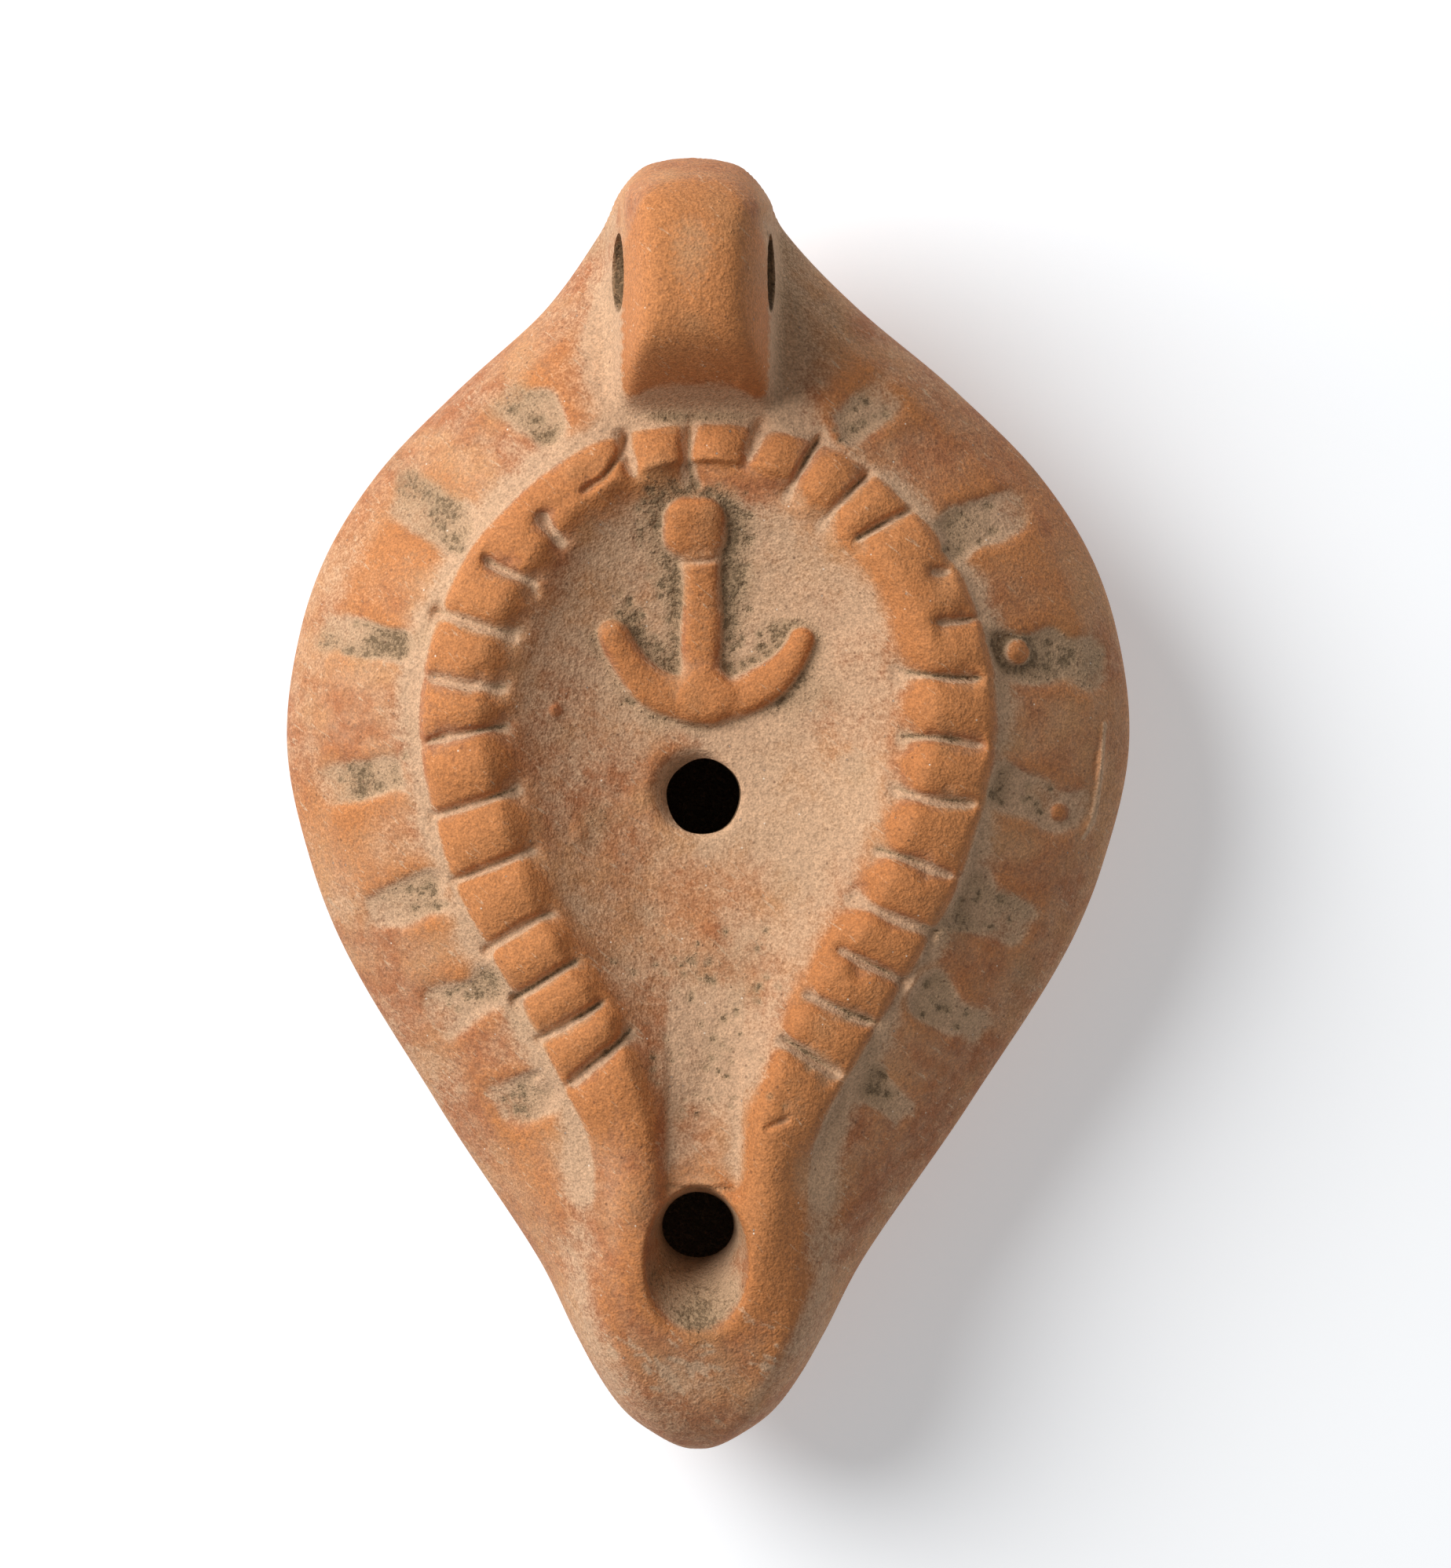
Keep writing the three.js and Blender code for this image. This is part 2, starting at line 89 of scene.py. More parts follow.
WALL_SECTION = [
    (-0.15, 0), (0, 0.08), (0.12, 0.3), (0.25, 0.6), (0.4, 0.87), (0.52, 0.98), (0.62, 1), (0.75, 0.92),
    (0.9, 0.68), (1.05, 0.32), (1.2, 0),
]

# Notches pressed across the ridge, clockwise from the nozzle's left: outer x, y, inner x, y, half width
NOTCHES = [
    (-10.3, -21.2, -5.4, -16.7, 0.42), (-12.7, -17.6, -7.5, -14.6, 0.36), (-14.7, -14.4, -9.3, -11.6, 0.34),
    (-16.8, -10.8, -11.3, -7.7, 0.34), (-19, -5.7, -12.6, -3, 0.38), (-20.7, -0.7, -13.8, 1.6, 0.36),
    (-21.3, 4.9, -14.7, 6.1, 0.34), (-21.1, 10.2, -15, 9, 0.46), (-20.7, 15, -14.1, 12.9, 0.46),
    (-16.8, 19, -12.6, 16.9, 0.4), (-12.7, 22.2, -10.7, 19.8, 0.42), (-6.3, 28.5, -5.3, 24.9, 0.5),
    (-1.2, 29.1, -1.1, 24.3, 0.5), (4.3, 29.4, 2.7, 25.8, 0.46), (8.7, 28.2, 5.7, 23.4, 0.3),
    (12.3, 25.5, 8.1, 21.3, 0.3), (15.5, 22.5, 11.1, 20.1, 0.32), (18.5, 18.3, 16.8, 18, 0.3),
    (20.4, 14.3, 17.2, 14.2, 0.3), (20.7, 9.9, 13.8, 10.2, 0.34), (21.1, 4.9, 14.3, 5.5, 0.34),
    (20.5, 0.3, 13.7, 1.5, 0.4), (18.9, -5, 12.5, -3, 0.4), (17.1, -9.6, 10.5, -6.6, 0.46),
    (14.9, -13.5, 9.6, -10.5, 0.46), (12.6, -16.5, 7.1, -14.1, 0.44), (10.2, -20.4, 5.4, -17.3, 0.46),
]
NOTCH_DEPTH = 0.75
NOTCH_RUN_OUT = 1.0
SLIT_DEPTH = 0.5
PAD_SWELLING = 0.55
PAD_END_ROUNDING = 0.7

# Hollow top inside the ridge, and the channel from it to the wick hole
BASIN_EDGE = [
    (-31, 0), (-28, 3.4), (-24, 4.4), (-20, 5.5), (-16.7, 6.8), (-11.6, 10), (-7.7, 12), (-3, 13.6),
    (1.6, 14.8), (6, 15.6), (9, 15.7), (12.9, 14.9), (16.9, 13.3), (20, 11.2), (24, 7.4), (26.6, 0),
]
BASIN_FLOOR = [
    (-31, 23.2), (-24, 22.95), (-18, 22.5), (-12, 21.8), (2, 21), (12, 21.4), (20, 22.9), (26.6, 25.6),
]
BASIN_RIM = 26.3
BASIN_BOWL = 0.72
CHANNEL_HALF_WIDTH = 2.7
CHANNEL_FLOOR = 23.1
CHANNEL_FRONT, CHANNEL_BACK = -30, -14

# Sunken bars on the shoulders, as outer x, y, inner x, y, width
BARS = [
    (-15.8, 32, -11.3, 28.7, 3.4), (-24.3, 24.3, -18.4, 20.6, 3.6), (-30.3, 13.6, -22.5, 12.4, 3.1),
    (-30, 1.3, -22.6, 2.8, 3.5), (-26.6, -8.4, -19.9, -6.4, 3.5), (-21.5, -15.9, -15.9, -13.5, 3.3),
    (-16.8, -23.1, -12, -20.7, 3.3), (14.6, 32.2, 9.6, 28.8, 3.4), (24.6, 23.3, 17.7, 20.5, 3.4),
    (30.3, 11.2, 22.2, 12.1, 3.4), (29.6, -0.4, 21.7, 1.7, 3.6), (25.2, -9.5, 19.6, -6.6, 3.9),
    (21.7, -17.3, 16.3, -14.2, 3.6), (15.9, -24.5, 11.8, -20.5, 3.6),
]
BAR_DEPTH = 0.75
BAR_SLOPE = 1.2
BAR_CORNER = 1.1

# Anchor in relief at the back of the hollow top: head and shank as middle x, y, half width, half length and
# corner, arms as part of an oval whose ends are given in half turns, nub as x, y, radius
ANCHOR_HEAD = (-0.85, 21.5, 2.5, 2.6, 1.9)
ANCHOR_SHANK = (-0.45, 13.7, 1.75, 6.9, 1.1)
ANCHOR_ARMS = {
    "x": 0.1, "y": 14.7, "half_x": 7.4, "half_y": 6.3, "thick": 1.7, "tip": 1.25, "from": 1.07, "to": 1.91,
}
ANCHOR_NUB = (0.0, 8.7, 2.25)
ANCHOR_RISE = 1.2
ANCHOR_SLOPE = 1.3

# Pellets and lumps of clay left on the surface, as x, y, radius, rise
PELLETS = [
    (23.8, 12, 1.1, 1.2), (27.2, -0.3, 0.7, 0.6), (-11.6, 7.5, 0.5, 0.3), (2.7, 26.7, 0.5, 0.35),
    (2.7, 32.5, 0.45, 0.4), (-12.6, -21.1, 0.7, 0.35), (-9.8, -1.8, 0.75, 0.16),
]

# The mould's burr on the right shoulder, in straight lengths from x, y to x, y
BURR = [
    (30.8, 6.6, 30.65, 4.2), (30.65, 4.2, 30.35, 1.8), (30.35, 1.8, 29.9, -1), (29.9, -1, 29.2, -2.4),
]
BURR_RISE = 0.85

# Cracks and cuts from x, y to x, y, with their depth, and the torn place on the ridge as x, y, reach
CRACKS = [
    (-9.3, 24.0, -7.8, 25.2, 0.9), (-7.8, 25.2, -6.3, 28.6, 0.9), (-30.9, 2.4, -30.2, -0.6, 0.12),
    (-30.2, -0.6, -29.1, -4.3, 0.12), (4.5, -24.7, 6.3, -23.8, 0.4), (-3.2, -29.2, 2.2, -29.15, 0.3),
]
TORN = (-9, 25, 3)

# How many small marks there are of each kind
PITS_AND_SPECKS = 420
CHIPS_A_NOTCH = 4
HOLES_IN_CHANNEL, HOLES_NEAR_ANCHOR, HOLES_A_BAR = 70, 260, 9
SCUFFS = 38

# Hand-made unevenness of the whole top as rise, size from lump to lump and seed
UNEVENNESS = [(0.10, 11, 17), (0.06, 4.5, 18), (0.05, 2, 19), (0.02, 0.9, 20)]
RELIEF_RUBBING = 0.13

# Handle: front face as y and height, sides as distance from its middle and height, back as y and height
# along the middle, and how far forward the round end falls back to each side
HANDLE_FRONT = [
    (24, 0), (28.8, 16), (30.4, 23), (31.4, 26), (32.4, 29), (33.4, 31.8), (34.3, 33.9), (35.3, 35.4),
    (36.6, 36.3), (38.5, 36.9), (41, 37.1), (60, 37.1),
]
HANDLE_RIGHT = [
    (0, 37.4), (1.5, 37.3), (2.5, 37), (3.6, 36.1), (4.6, 34.4), (5.4, 32.2), (5.8, 30), (6, 27.5),
    (6.1, 25), (6.2, 22.6), (6.5, 20), (7, 16), (9.5, 0), (80, 0),
]
HANDLE_LEFT = [
    (0, 37.4), (1.5, 37.3), (2.5, 37), (3.4, 36.1), (4.2, 34.5), (4.75, 32.3), (5.1, 29.8), (5.4, 27.6),
    (5.7, 25.4), (6.1, 23), (6.7, 20), (7.6, 16), (10, 0), (80, 0),
]
HANDLE_BACK = [
    (-60, 37.3), (41.3, 37.3), (43.5, 36.8), (45.4, 35.8), (47.2, 33.9), (48.6, 30.8), (49.5, 27.3),
    (49.9, 24), (50, 21), (60, 20),
]
HANDLE_END = [(0, 0), (2, 0.2), (4, 0.9), (5.4, 2.4), (7.2, 5.5), (12.2, 11.3), (80, 60)]
HANDLE_X = -1.1
HANDLE_CORNER, HANDLE_LOW_CORNER = 1.4, 6
HANDLE_FLARE = 3.6
HANDLE_RUBBING = 0.45
HANDLE_HOLE = {"y": 40.9, "z": 26, "radius": 2.95, "reach": 40}

# Oil chamber and the two holes into it; the wick hole as height, y, half width, half length
CHAMBER_WALL = 4.8
CHAMBER_FRONT, CHAMBER_BACK = -39.5, 31
CHAMBER_FLOOR = [(-39.5, 9), (-32, 6.2), (-20, 4.5), (15, 4.5), (31, 7)]
CHAMBER_ROOF = [(-39.5, 15), (-32, 16.3), (-18, 16.5), (15, 16.5), (31, 15)]
CHAMBER_BLUNTNESS = 5
FILL_HOLE = {"x": -0.3, "y": 0.9, "radius": 2.92, "lip": 1.0}
WICK_HOLE = [
    (11, -32.2, 2.75, 2.25), (16, -32.5, 2.85, 2.7), (18.5, -32.9, 2.95, 3.3), (20.5, -33.5, 3.15, 4.1),
    (22, -34.4, 3.5, 5.2), (23.5, -35.3, 3.9, 6.4), (26, -36, 4.5, 7.6),
]
WICK_HOLE_X = -0.7
SHAFT_ENDS = 10, 30

# Camera straight above, the height of the field it takes in and the level at which that is measured
CAMERA_PLACE = (1.436, 1.87, 700)
FIELD_HEIGHT, FIELD_LEVEL = 122.0, 14
SENSOR = 36

# Plan grid on which the carving is worked out
PITCH = 0.1
WIDE, LONG = 36.0, 53.0
xs = np.arange(round(2 * WIDE / PITCH) + 1) * PITCH - WIDE
ys = np.arange(round(2 * LONG / PITCH) + 1) * PITCH - LONG
X, Y = np.meshgrid(xs, ys)


def along(stations):
    """A smooth curve through (position, value) stations, read at any positions."""
    at, value = np.array(stations, float).T
    rise = np.diff(value) / np.diff(at)
    slope = np.concatenate([rise[:1], (rise[1:] + rise[:-1]) / 2, rise[-1:]])

    def read_curve(position):
        i = np.clip(np.searchsorted(at, position) - 1, 0, len(at) - 2)
        step = at[i + 1] - at[i]
        p = np.clip((position - at[i]) / step, 0, 1)
        start = (1 + 2 * p) * (1 - p) ** 2 * value[i] + p * (1 - p) ** 2 * step * slope[i]
        end = p ** 2 * (3 - 2 * p) * value[i + 1] + p ** 2 * (p - 1) * step * slope[i + 1]
        return start + end

    return read_curve


def blunt(stations):
    """A curve through (y, value) stations that meets both of its ends square, as an oval does."""
    front, back = stations[0][0], stations[-1][0]

    def turn(y):
        return np.arccos(np.clip(1 - 2 * (np.asarray(y, float) - front) / (back - front), -1, 1))

    curve = along([(float(turn(y)), value) for y, value in stations])
    return lambda y: curve(turn(y))


half_width, top_edge, ridge_edge, basin_edge, flat_base = (
    blunt(stations) for stations in (OUTLINE, TOP_EDGE, RIDGE_EDGE, BASIN_EDGE, FLAT_BASE)
)
shoulder_top, keel = blunt(SHOULDER_TOP), blunt(KEEL)
seam, lean, ridge_width, ridge_rise, basin_floor = (
    along(stations) for stations in (SEAM, LEAN, RIDGE_WIDTH, RIDGE_RISE, BASIN_FLOOR)
)
chamber_floor, chamber_roof = along(CHAMBER_FLOOR), along(CHAMBER_ROOF)
pad_section, wall_section = along(PAD_SECTION), along(WALL_SECTION)


def smooth_max(a, b, k):
    """The higher of two heights, with the corner between them filled over about k."""
    share = np.clip(0.5 + 0.5 * (a - b) / (k + 1e-6), 0, 1)
    return b + (a - b) * share + k * share * (1 - share)


def smooth_min(a, b, k):
    """The lower of two heights, with the corner between them rounded over about k."""
    return -smooth_max(-a, -b, k)


def ramp(value, low, high):
    """0 at low, 1 at high, easing in and out."""
    share = np.clip((value - low) / (high - low), 0, 1)
    return share * share * (3 - 2 * share)


def hump(value, middle, spread):
    """1 at the middle, fading to nothing over about twice the spread."""
    return np.exp(-((value - middle) / spread) ** 2)


def knots(places, size, count):
    """Weights that blend a row of knots, size apart, into each place."""
    gap = np.abs(places[:, None] / size + 1 - np.arange(count)[None, :])
    near = 2 / 3 - gap ** 2 + gap ** 3 / 2
    return np.where(gap < 1, near, np.clip(2 - gap, 0, None) ** 3 / 6)


def lumps(size, seed):
    """Random unevenness in plan, about size from lump to lump, with mean 0 and spread 1."""
    rows, columns = int(2 * LONG / size) + 4, int(2 * WIDE / size) + 4
    heights = np.random.default_rng(seed).normal(size=(rows, columns))
    field = knots(ys + LONG, size, rows) @ heights @ knots(xs + WIDE, size, columns).T
    return (field - field.mean()) / field.std()


def softened(field, radius):
    """A plan field rubbed smooth over a radius."""
    down = np.fft.fftfreq(field.shape[0], PITCH)[:, None]
    across = np.fft.rfftfreq(field.shape[1], PITCH)[None, :]
    keep = np.exp(-2 * (math.pi * radius) ** 2 * (down ** 2 + across ** 2))
    return np.fft.irfft2(np.fft.rfft2(field) * keep, s=field.shape)


def read(field, x, y):
    """Values of a plan field at points, from the four cells around each."""
    u = np.clip((x + WIDE) / PITCH, 0, len(xs) - 1.001)
    v = np.clip((y + LONG) / PITCH, 0, len(ys) - 1.001)
    i, j = np.int64(u), np.int64(v)
    u, v = u - i, v - j
    low = field[j, i] * (1 - u) + field[j, i + 1] * u
    high = field[j + 1, i] * (1 - u) + field[j + 1, i + 1] * u
    return low * (1 - v) + high * v


def closed_line(half, front, back, count):
    """Points at even steps round an outline, anticlockwise from its front."""
    turn = np.linspace(0, math.pi, 1200)
    y = (front + back) / 2 - (back - front) / 2 * np.cos(turn)
    right = np.stack([lean(y) + half(y), y], 1)
    left = np.stack([lean(y) - half(y), y], 1)[::-1][1:-1]
    line = np.concatenate([right, left, right[:1]])
    walked = np.concatenate([[0], np.cumsum(np.linalg.norm(np.diff(line, axis=0), axis=1))])
    stops = np.arange(count) / count * walked[-1]
    return np.stack([np.interp(stops, walked, line[:, i]) for i in (0, 1)], 1)


def finer(field):
    """A field at twice as many places, halfway values between the old ones."""
    tall = np.repeat(field, 2, 0)[:-1]
    tall[1::2] = (field[1:] + field[:-1]) / 2
    dense = np.repeat(tall, 2, 1)[:, :-1]
    dense[:, 1::2] = (tall[:, 1:] + tall[:, :-1]) / 2
    return dense


def inset_from(line):
    """Distance inside a closed anticlockwise line at every place in plan, negative outside it."""
    start, way = line, np.roll(line, -1, axis=0) - line
    size = (way ** 2).sum(1)
    coarse_x, coarse_y = X[::2, ::2], Y[::2, ::2]
    field = np.zeros(coarse_x.shape)
    for row in range(len(field)):
        dx = coarse_x[row][:, None] - start[:, 0]
        dy = coarse_y[row][:, None] - start[:, 1]
        share = np.clip((dx * way[:, 0] + dy * way[:, 1]) / size, 0, 1)
        gap = (dx - share * way[:, 0]) ** 2 + (dy - share * way[:, 1]) ** 2
        nearest = gap.argmin(1)
        pick = np.arange(len(nearest))
        side = way[nearest, 0] * dy[pick, nearest] - way[nearest, 1] * dx[pick, nearest]
        field[row] = np.sqrt(gap[pick, nearest]) * np.sign(side)
    return finer(field)


RIM_POINTS = 620
rim_line = closed_line(half_width, OUTLINE[0][0], OUTLINE[-1][0], RIM_POINTS)
rim_inset = inset_from(rim_line)
ridge_inset = inset_from(closed_line(ridge_edge, RIDGE_EDGE[0][0], RIDGE_EDGE[-1][0], 420))


def shoulder_height(x, y):
    """Top of the plain pear-shaped body."""
    half, flat = half_width(y), top_edge(y)
    inward = np.clip((half - np.abs(x - lean(y))) / np.maximum(half - flat, 0.01), 0, 1)
    # The shoulder turns over rounder at the nozzle's nose and beside the handle
    easing = 1 + 1.5 * ramp(y, -33, -43) + ramp(y, 27, 33)
    return seam(y) + (shoulder_top(y) - seam(y)) * (1 - (1 - inward) ** easing) ** SHOULDER_ROUNDING


def underside_height(x, y):
    """Bottom of the bowl, down to the flat base."""
    half, flat = half_width(y), flat_base(y)
    out = np.clip((np.abs(x - lean(y)) - flat) / np.maximum(half - flat, 0.01), 0, 1)
    return seam(y) - (seam(y) - np.maximum(keel(y), 0)) * np.sqrt(1 - out ** 2)


handle_front, handle_right, handle_left, handle_back, handle_end = (
    along(stations) for stations in (HANDLE_FRONT, HANDLE_RIGHT, HANDLE_LEFT, HANDLE_BACK, HANDLE_END)
)


def handle_height(x, y):
    """Top of the handle, far below the body where there is none."""
    aside = np.abs(x - HANDLE_X)
    front, side = handle_front(y), np.where(x > HANDLE_X, handle_right(aside), handle_left(aside))
    corner = HANDLE_CORNER + HANDLE_LOW_CORNER * ramp(np.minimum(front, side), 35.5, 31)
    return smooth_min(smooth_min(front, side, corner), handle_back(y + handle_end(aside)), HANDLE_CORNER)


# The handle's edges are rubbed round, except at its back, where it meets the rim
rubbed_handle = softened(np.maximum(handle_height(X, Y), shoulder_height(X, Y) - 2), HANDLE_RUBBING)


def hull_height(x, y):
    """Top of the body and handle before any carving."""
    inset = np.clip(read(rim_inset, x, y), 0, None)
    crisp, rubbed = handle_height(x, y), read(rubbed_handle, x, y)
    handle = crisp + (rubbed - crisp) * ramp(inset, 0.3, 2)
    return smooth_max(shoulder_height(x, y), handle, HANDLE_FLARE * np.clip(inset / 3, 0, 1))


def strip(outer_x, outer_y, inner_x, inner_y):
    """Distance along a line from its outer end, distance to its side, and its length."""
    length = math.hypot(inner_x - outer_x, inner_y - outer_y)
    ux, uy = (inner_x - outer_x) / length, (inner_y - outer_y) / length
    run = (X - outer_x) * ux + (Y - outer_y) * uy
    return run, (Y - outer_y) * ux - (X - outer_x) * uy, length


def block(x, y, half_x, half_y, corner):
    """Distance outside a round-cornered oblong, negative inside it."""
    dx, dy = np.abs(x) - half_x + corner, np.abs(y) - half_y + corner
    outside = np.hypot(np.maximum(dx, 0), np.maximum(dy, 0))
    return outside + np.minimum(np.maximum(dx, dy), 0) - corner


def dome(outside, slope):
    """Rounded rise from an edge, 0 at the edge and 1 a slope's width inside it."""
    share = np.clip(-outside / slope, 0, 1)
    return np.sqrt(1 - (1 - share) ** 2)


def spot(x, y, size, reach):
    """The cells of the plan within reach of a point, and a round hump on them."""
    j, i, cells = (round(length / PITCH) for length in (y + LONG, x + WIDE, reach))
    near = tuple(slice(max(middle - cells, 0), middle + cells + 1) for middle in (j, i))
    return near, hump(np.hypot(X[near] - x, Y[near] - y), 0, size)


def scratch(ends, half, wander, past, fade):
    """A thin wandering line from x, y to x, y, running a little past its ends and fading there."""
    run, aside, length = strip(*ends)
    fading = ramp(length / 2 + past - np.abs(run - length / 2), 0, fade)
    return hump(aside + wander * waver, 0, half) * fading


# Ridge and walls of the nozzle, raised on the plain body
hull = hull_height(X, Y)
across_ridge = ridge_inset / ridge_width(Y)
nozzle = ramp(Y, -23, -29)
section = pad_section(across_ridge) * (1 - nozzle) + wall_section(across_ridge) * nozzle
height = hull + ridge_rise(Y) * section * (1 + 0.09 * lumps(5, 28))

# Notches pressed with a blade while the clay was soft: a shallow cut with a torn slit along one side,
# the pads between them swelling a little
notch, slit, pillow = np.zeros(X.shape), np.zeros(X.shape), np.zeros(X.shape)
waver = 0.12 * lumps(2.5, 11)
tearing = np.clip(0.72 + 0.45 * lumps(1.4, 10), 0, 1)
for *ends, half in NOTCHES:
    run, aside, length = strip(*ends)
    aside = aside * math.copysign(1, ends[2] - ends[0]) + waver
    reach = ramp(run, -0.9, 0.4) * ramp(run, length + 0.3, length - NOTCH_RUN_OUT)
    notch = np.maximum(notch, reach * np.clip(1 - np.abs(aside) / (1.7 * half), 0, 1))
    slit = np.maximum(slit, reach * tearing * hump(aside, 0.35 * half, 0.19))
    pillow = np.maximum(pillow, reach * hump(aside, 0, 1.35))
height -= NOTCH_DEPTH * notch + SLIT_DEPTH * slit + PAD_SWELLING * pillow

# Hollow top, channel and the flared mouth of the wick hole
across = np.minimum(np.abs(X - lean(Y)) / np.maximum(basin_edge(Y), 0.05), 3)
basin_curve = BASIN_BOWL * across ** 2 + (1 - BASIN_BOWL) * across ** 6
basin = basin_floor(Y) + (BASIN_RIM - basin_floor(Y)) * basin_curve
basin += 60 * (ramp(Y, 26.5, 30) + ramp(Y, -28.5, -31.5))
height = smooth_min(height, basin - PAD_END_ROUNDING * pillow, 1.6)
channel = CHANNEL_FLOOR + 2.2 * np.maximum(np.abs(X - lean(Y)) - CHANNEL_HALF_WIDTH, 0)
channel += 40 * (ramp(Y, CHANNEL_BACK - 2, CHANNEL_BACK + 4) + ramp(Y, CHANNEL_FRONT, CHANNEL_FRONT - 3))
height = smooth_min(height, channel, 0.6)
mouth = np.full(X.shape, 40.0)
levels = np.linspace(11, 26, 181)
sizes = [along([(station[0], station[i]) for station in WICK_HOLE])(levels) for i in (1, 2, 3)]
for z, middle, half_x, half_y in reversed(list(zip(levels, *sizes))):
    mouth[np.hypot((X - WICK_HOLE_X) / half_x, (Y - middle) / half_y) < 1] = z
mouth = softened(np.minimum(mouth, 27), 0.2) + 30 * ramp(Y, -27, -24)
in_mouth = ramp(height - mouth, 0, 0.8)
height = smooth_min(height, mouth, 0.6)

# Rounded lip of the filling hole
from_fill = np.hypot(X - FILL_HOLE["x"], Y - FILL_HOLE["y"])
worn = np.cos(np.arctan2(Y - FILL_HOLE["y"], X - FILL_HOLE["x"]) - math.radians(150))
lip = FILL_HOLE["lip"] * (0.45 + 1.1 * np.clip(worn, 0, 1))
lip_share = np.clip((FILL_HOLE["radius"] + lip - from_fill) / lip, 0, 1)
height -= lip * (1 - np.sqrt(1 - lip_share ** 2)) + 1.1 * np.clip(worn, 0, 1) * lip_share ** 1.4

# Sunken bars with ragged edges, deeper towards the ridge
ragged = 0.3 * lumps(1.6, 12) + 0.18 * lumps(4, 13)
bar, bar_inner = np.zeros(X.shape), np.zeros(X.shape)
for *ends, width in BARS:
    run, aside, length = strip(*ends)
    edge = block(run - length / 2, aside, length / 2, width / 2, BAR_CORNER) + ragged
    sunk = ramp(-edge, -0.55, BAR_SLOPE - 0.55)
    bar = np.maximum(bar, sunk)
    bar_inner = np.maximum(bar_inner, sunk * np.clip(run / length, 0, 1))
height -= BAR_DEPTH * (0.5 * bar + 0.5 * bar_inner)

# Anchor
uneven = 0.16 * lumps(2.2, 14)
head = block(X - ANCHOR_HEAD[0], Y - ANCHOR_HEAD[1], *ANCHOR_HEAD[2:]) + uneven
shank = block(X - ANCHOR_SHANK[0], Y - ANCHOR_SHANK[1], *ANCHOR_SHANK[2:]) + uneven
arm_rise = (Y - ANCHOR_ARMS["y"]) / ANCHOR_ARMS["half_y"]
arm_run = (X - ANCHOR_ARMS["x"]) / ANCHOR_ARMS["half_x"]
turn = np.mod(np.arctan2(arm_rise, arm_run) / math.pi, 2)
near_turn = np.clip(turn, ANCHOR_ARMS["from"], ANCHOR_ARMS["to"]) * math.pi
arm_x = ANCHOR_ARMS["x"] + ANCHOR_ARMS["half_x"] * np.cos(near_turn)
arm_y = ANCHOR_ARMS["y"] + ANCHOR_ARMS["half_y"] * np.sin(near_turn)
arm_taper = np.abs(2 * near_turn / math.pi - ANCHOR_ARMS["from"] - ANCHOR_ARMS["to"])
arm_taper = ramp(arm_taper / (ANCHOR_ARMS["to"] - ANCHOR_ARMS["from"]), 0, 1)
arm_thick = ANCHOR_ARMS["thick"] + (ANCHOR_ARMS["tip"] - ANCHOR_ARMS["thick"]) * arm_taper
arms = np.hypot(X - arm_x, Y - arm_y) - arm_thick + uneven
nub = np.hypot(X - ANCHOR_NUB[0], Y - ANCHOR_NUB[1]) - ANCHOR_NUB[2]
anchor_gap = np.minimum(np.minimum(head, shank), np.minimum(arms, nub))
figure = dome(smooth_min(shank, smooth_min(arms, nub, 0.5), 0.8), ANCHOR_SLOPE)
figure *= 1 - 0.4 * hump(head, 0.12, 0.22)
height += ANCHOR_RISE * np.maximum(figure, 1.2 * dome(head, 1.9)) + 0.4 * dome(nub, 2)

# Pellets, the mould's burr, cracks and the torn place on the ridge
pellet = np.zeros(X.shape)
for x, y, radius, rise in PELLETS:
    ball = dome(np.hypot(X - x, Y - y) - radius, radius)
    height += rise * ball
    pellet = np.maximum(pellet, ball)
burr = np.zeros(X.shape)
for ends in BURR:
    run, aside, length = strip(*ends)
    within = np.abs(run - length / 2) < length / 2 + 0.1
    burr = np.maximum(burr, hump(aside + 0.5 * waver, 0, 0.2) * within)
height += BURR_RISE * burr * (0.8 + 0.25 * lumps(1.2, 15))
crack = np.zeros(X.shape)
for *ends, depth in CRACKS:
    crack = np.maximum(crack, depth * scratch(ends, half=0.2, wander=2, past=0.3, fade=0.5))
torn = hump(np.hypot(X - TORN[0], Y - TORN[1]), 0, TORN[2])
height += 0.2 * lumps(1.5, 29) * torn - crack

# Pits and specks all over, and chips along the notches
draw = np.random.default_rng(16)
for _ in range(PITS_AND_SPECKS):
    x, y = draw.uniform(-32, 32), draw.uniform(-49, 49)
    size = 0.14 + 0.3 * draw.random() ** 3
    sign = -1 if draw.random() < 0.7 else 0.6
    near, pit = spot(x, y, size, 1.2)
    height[near] += sign * 0.5 * size * pit
for *ends, half in NOTCHES:
    for _ in range(CHIPS_A_NOTCH):
        share, sideways = draw.uniform(-0.05, 0.95), draw.uniform(0.4, 1.0) * draw.choice([-1, 1])
        x, y = (ends[i] + share * (ends[i + 2] - ends[i]) for i in (0, 1))
        x, y = x + sideways * 0.3, y + sideways
        size = draw.uniform(0.25, 0.6)
        near, chip = spot(x, y, size, 1.5)
        height[near] -= 0.4 * size * chip

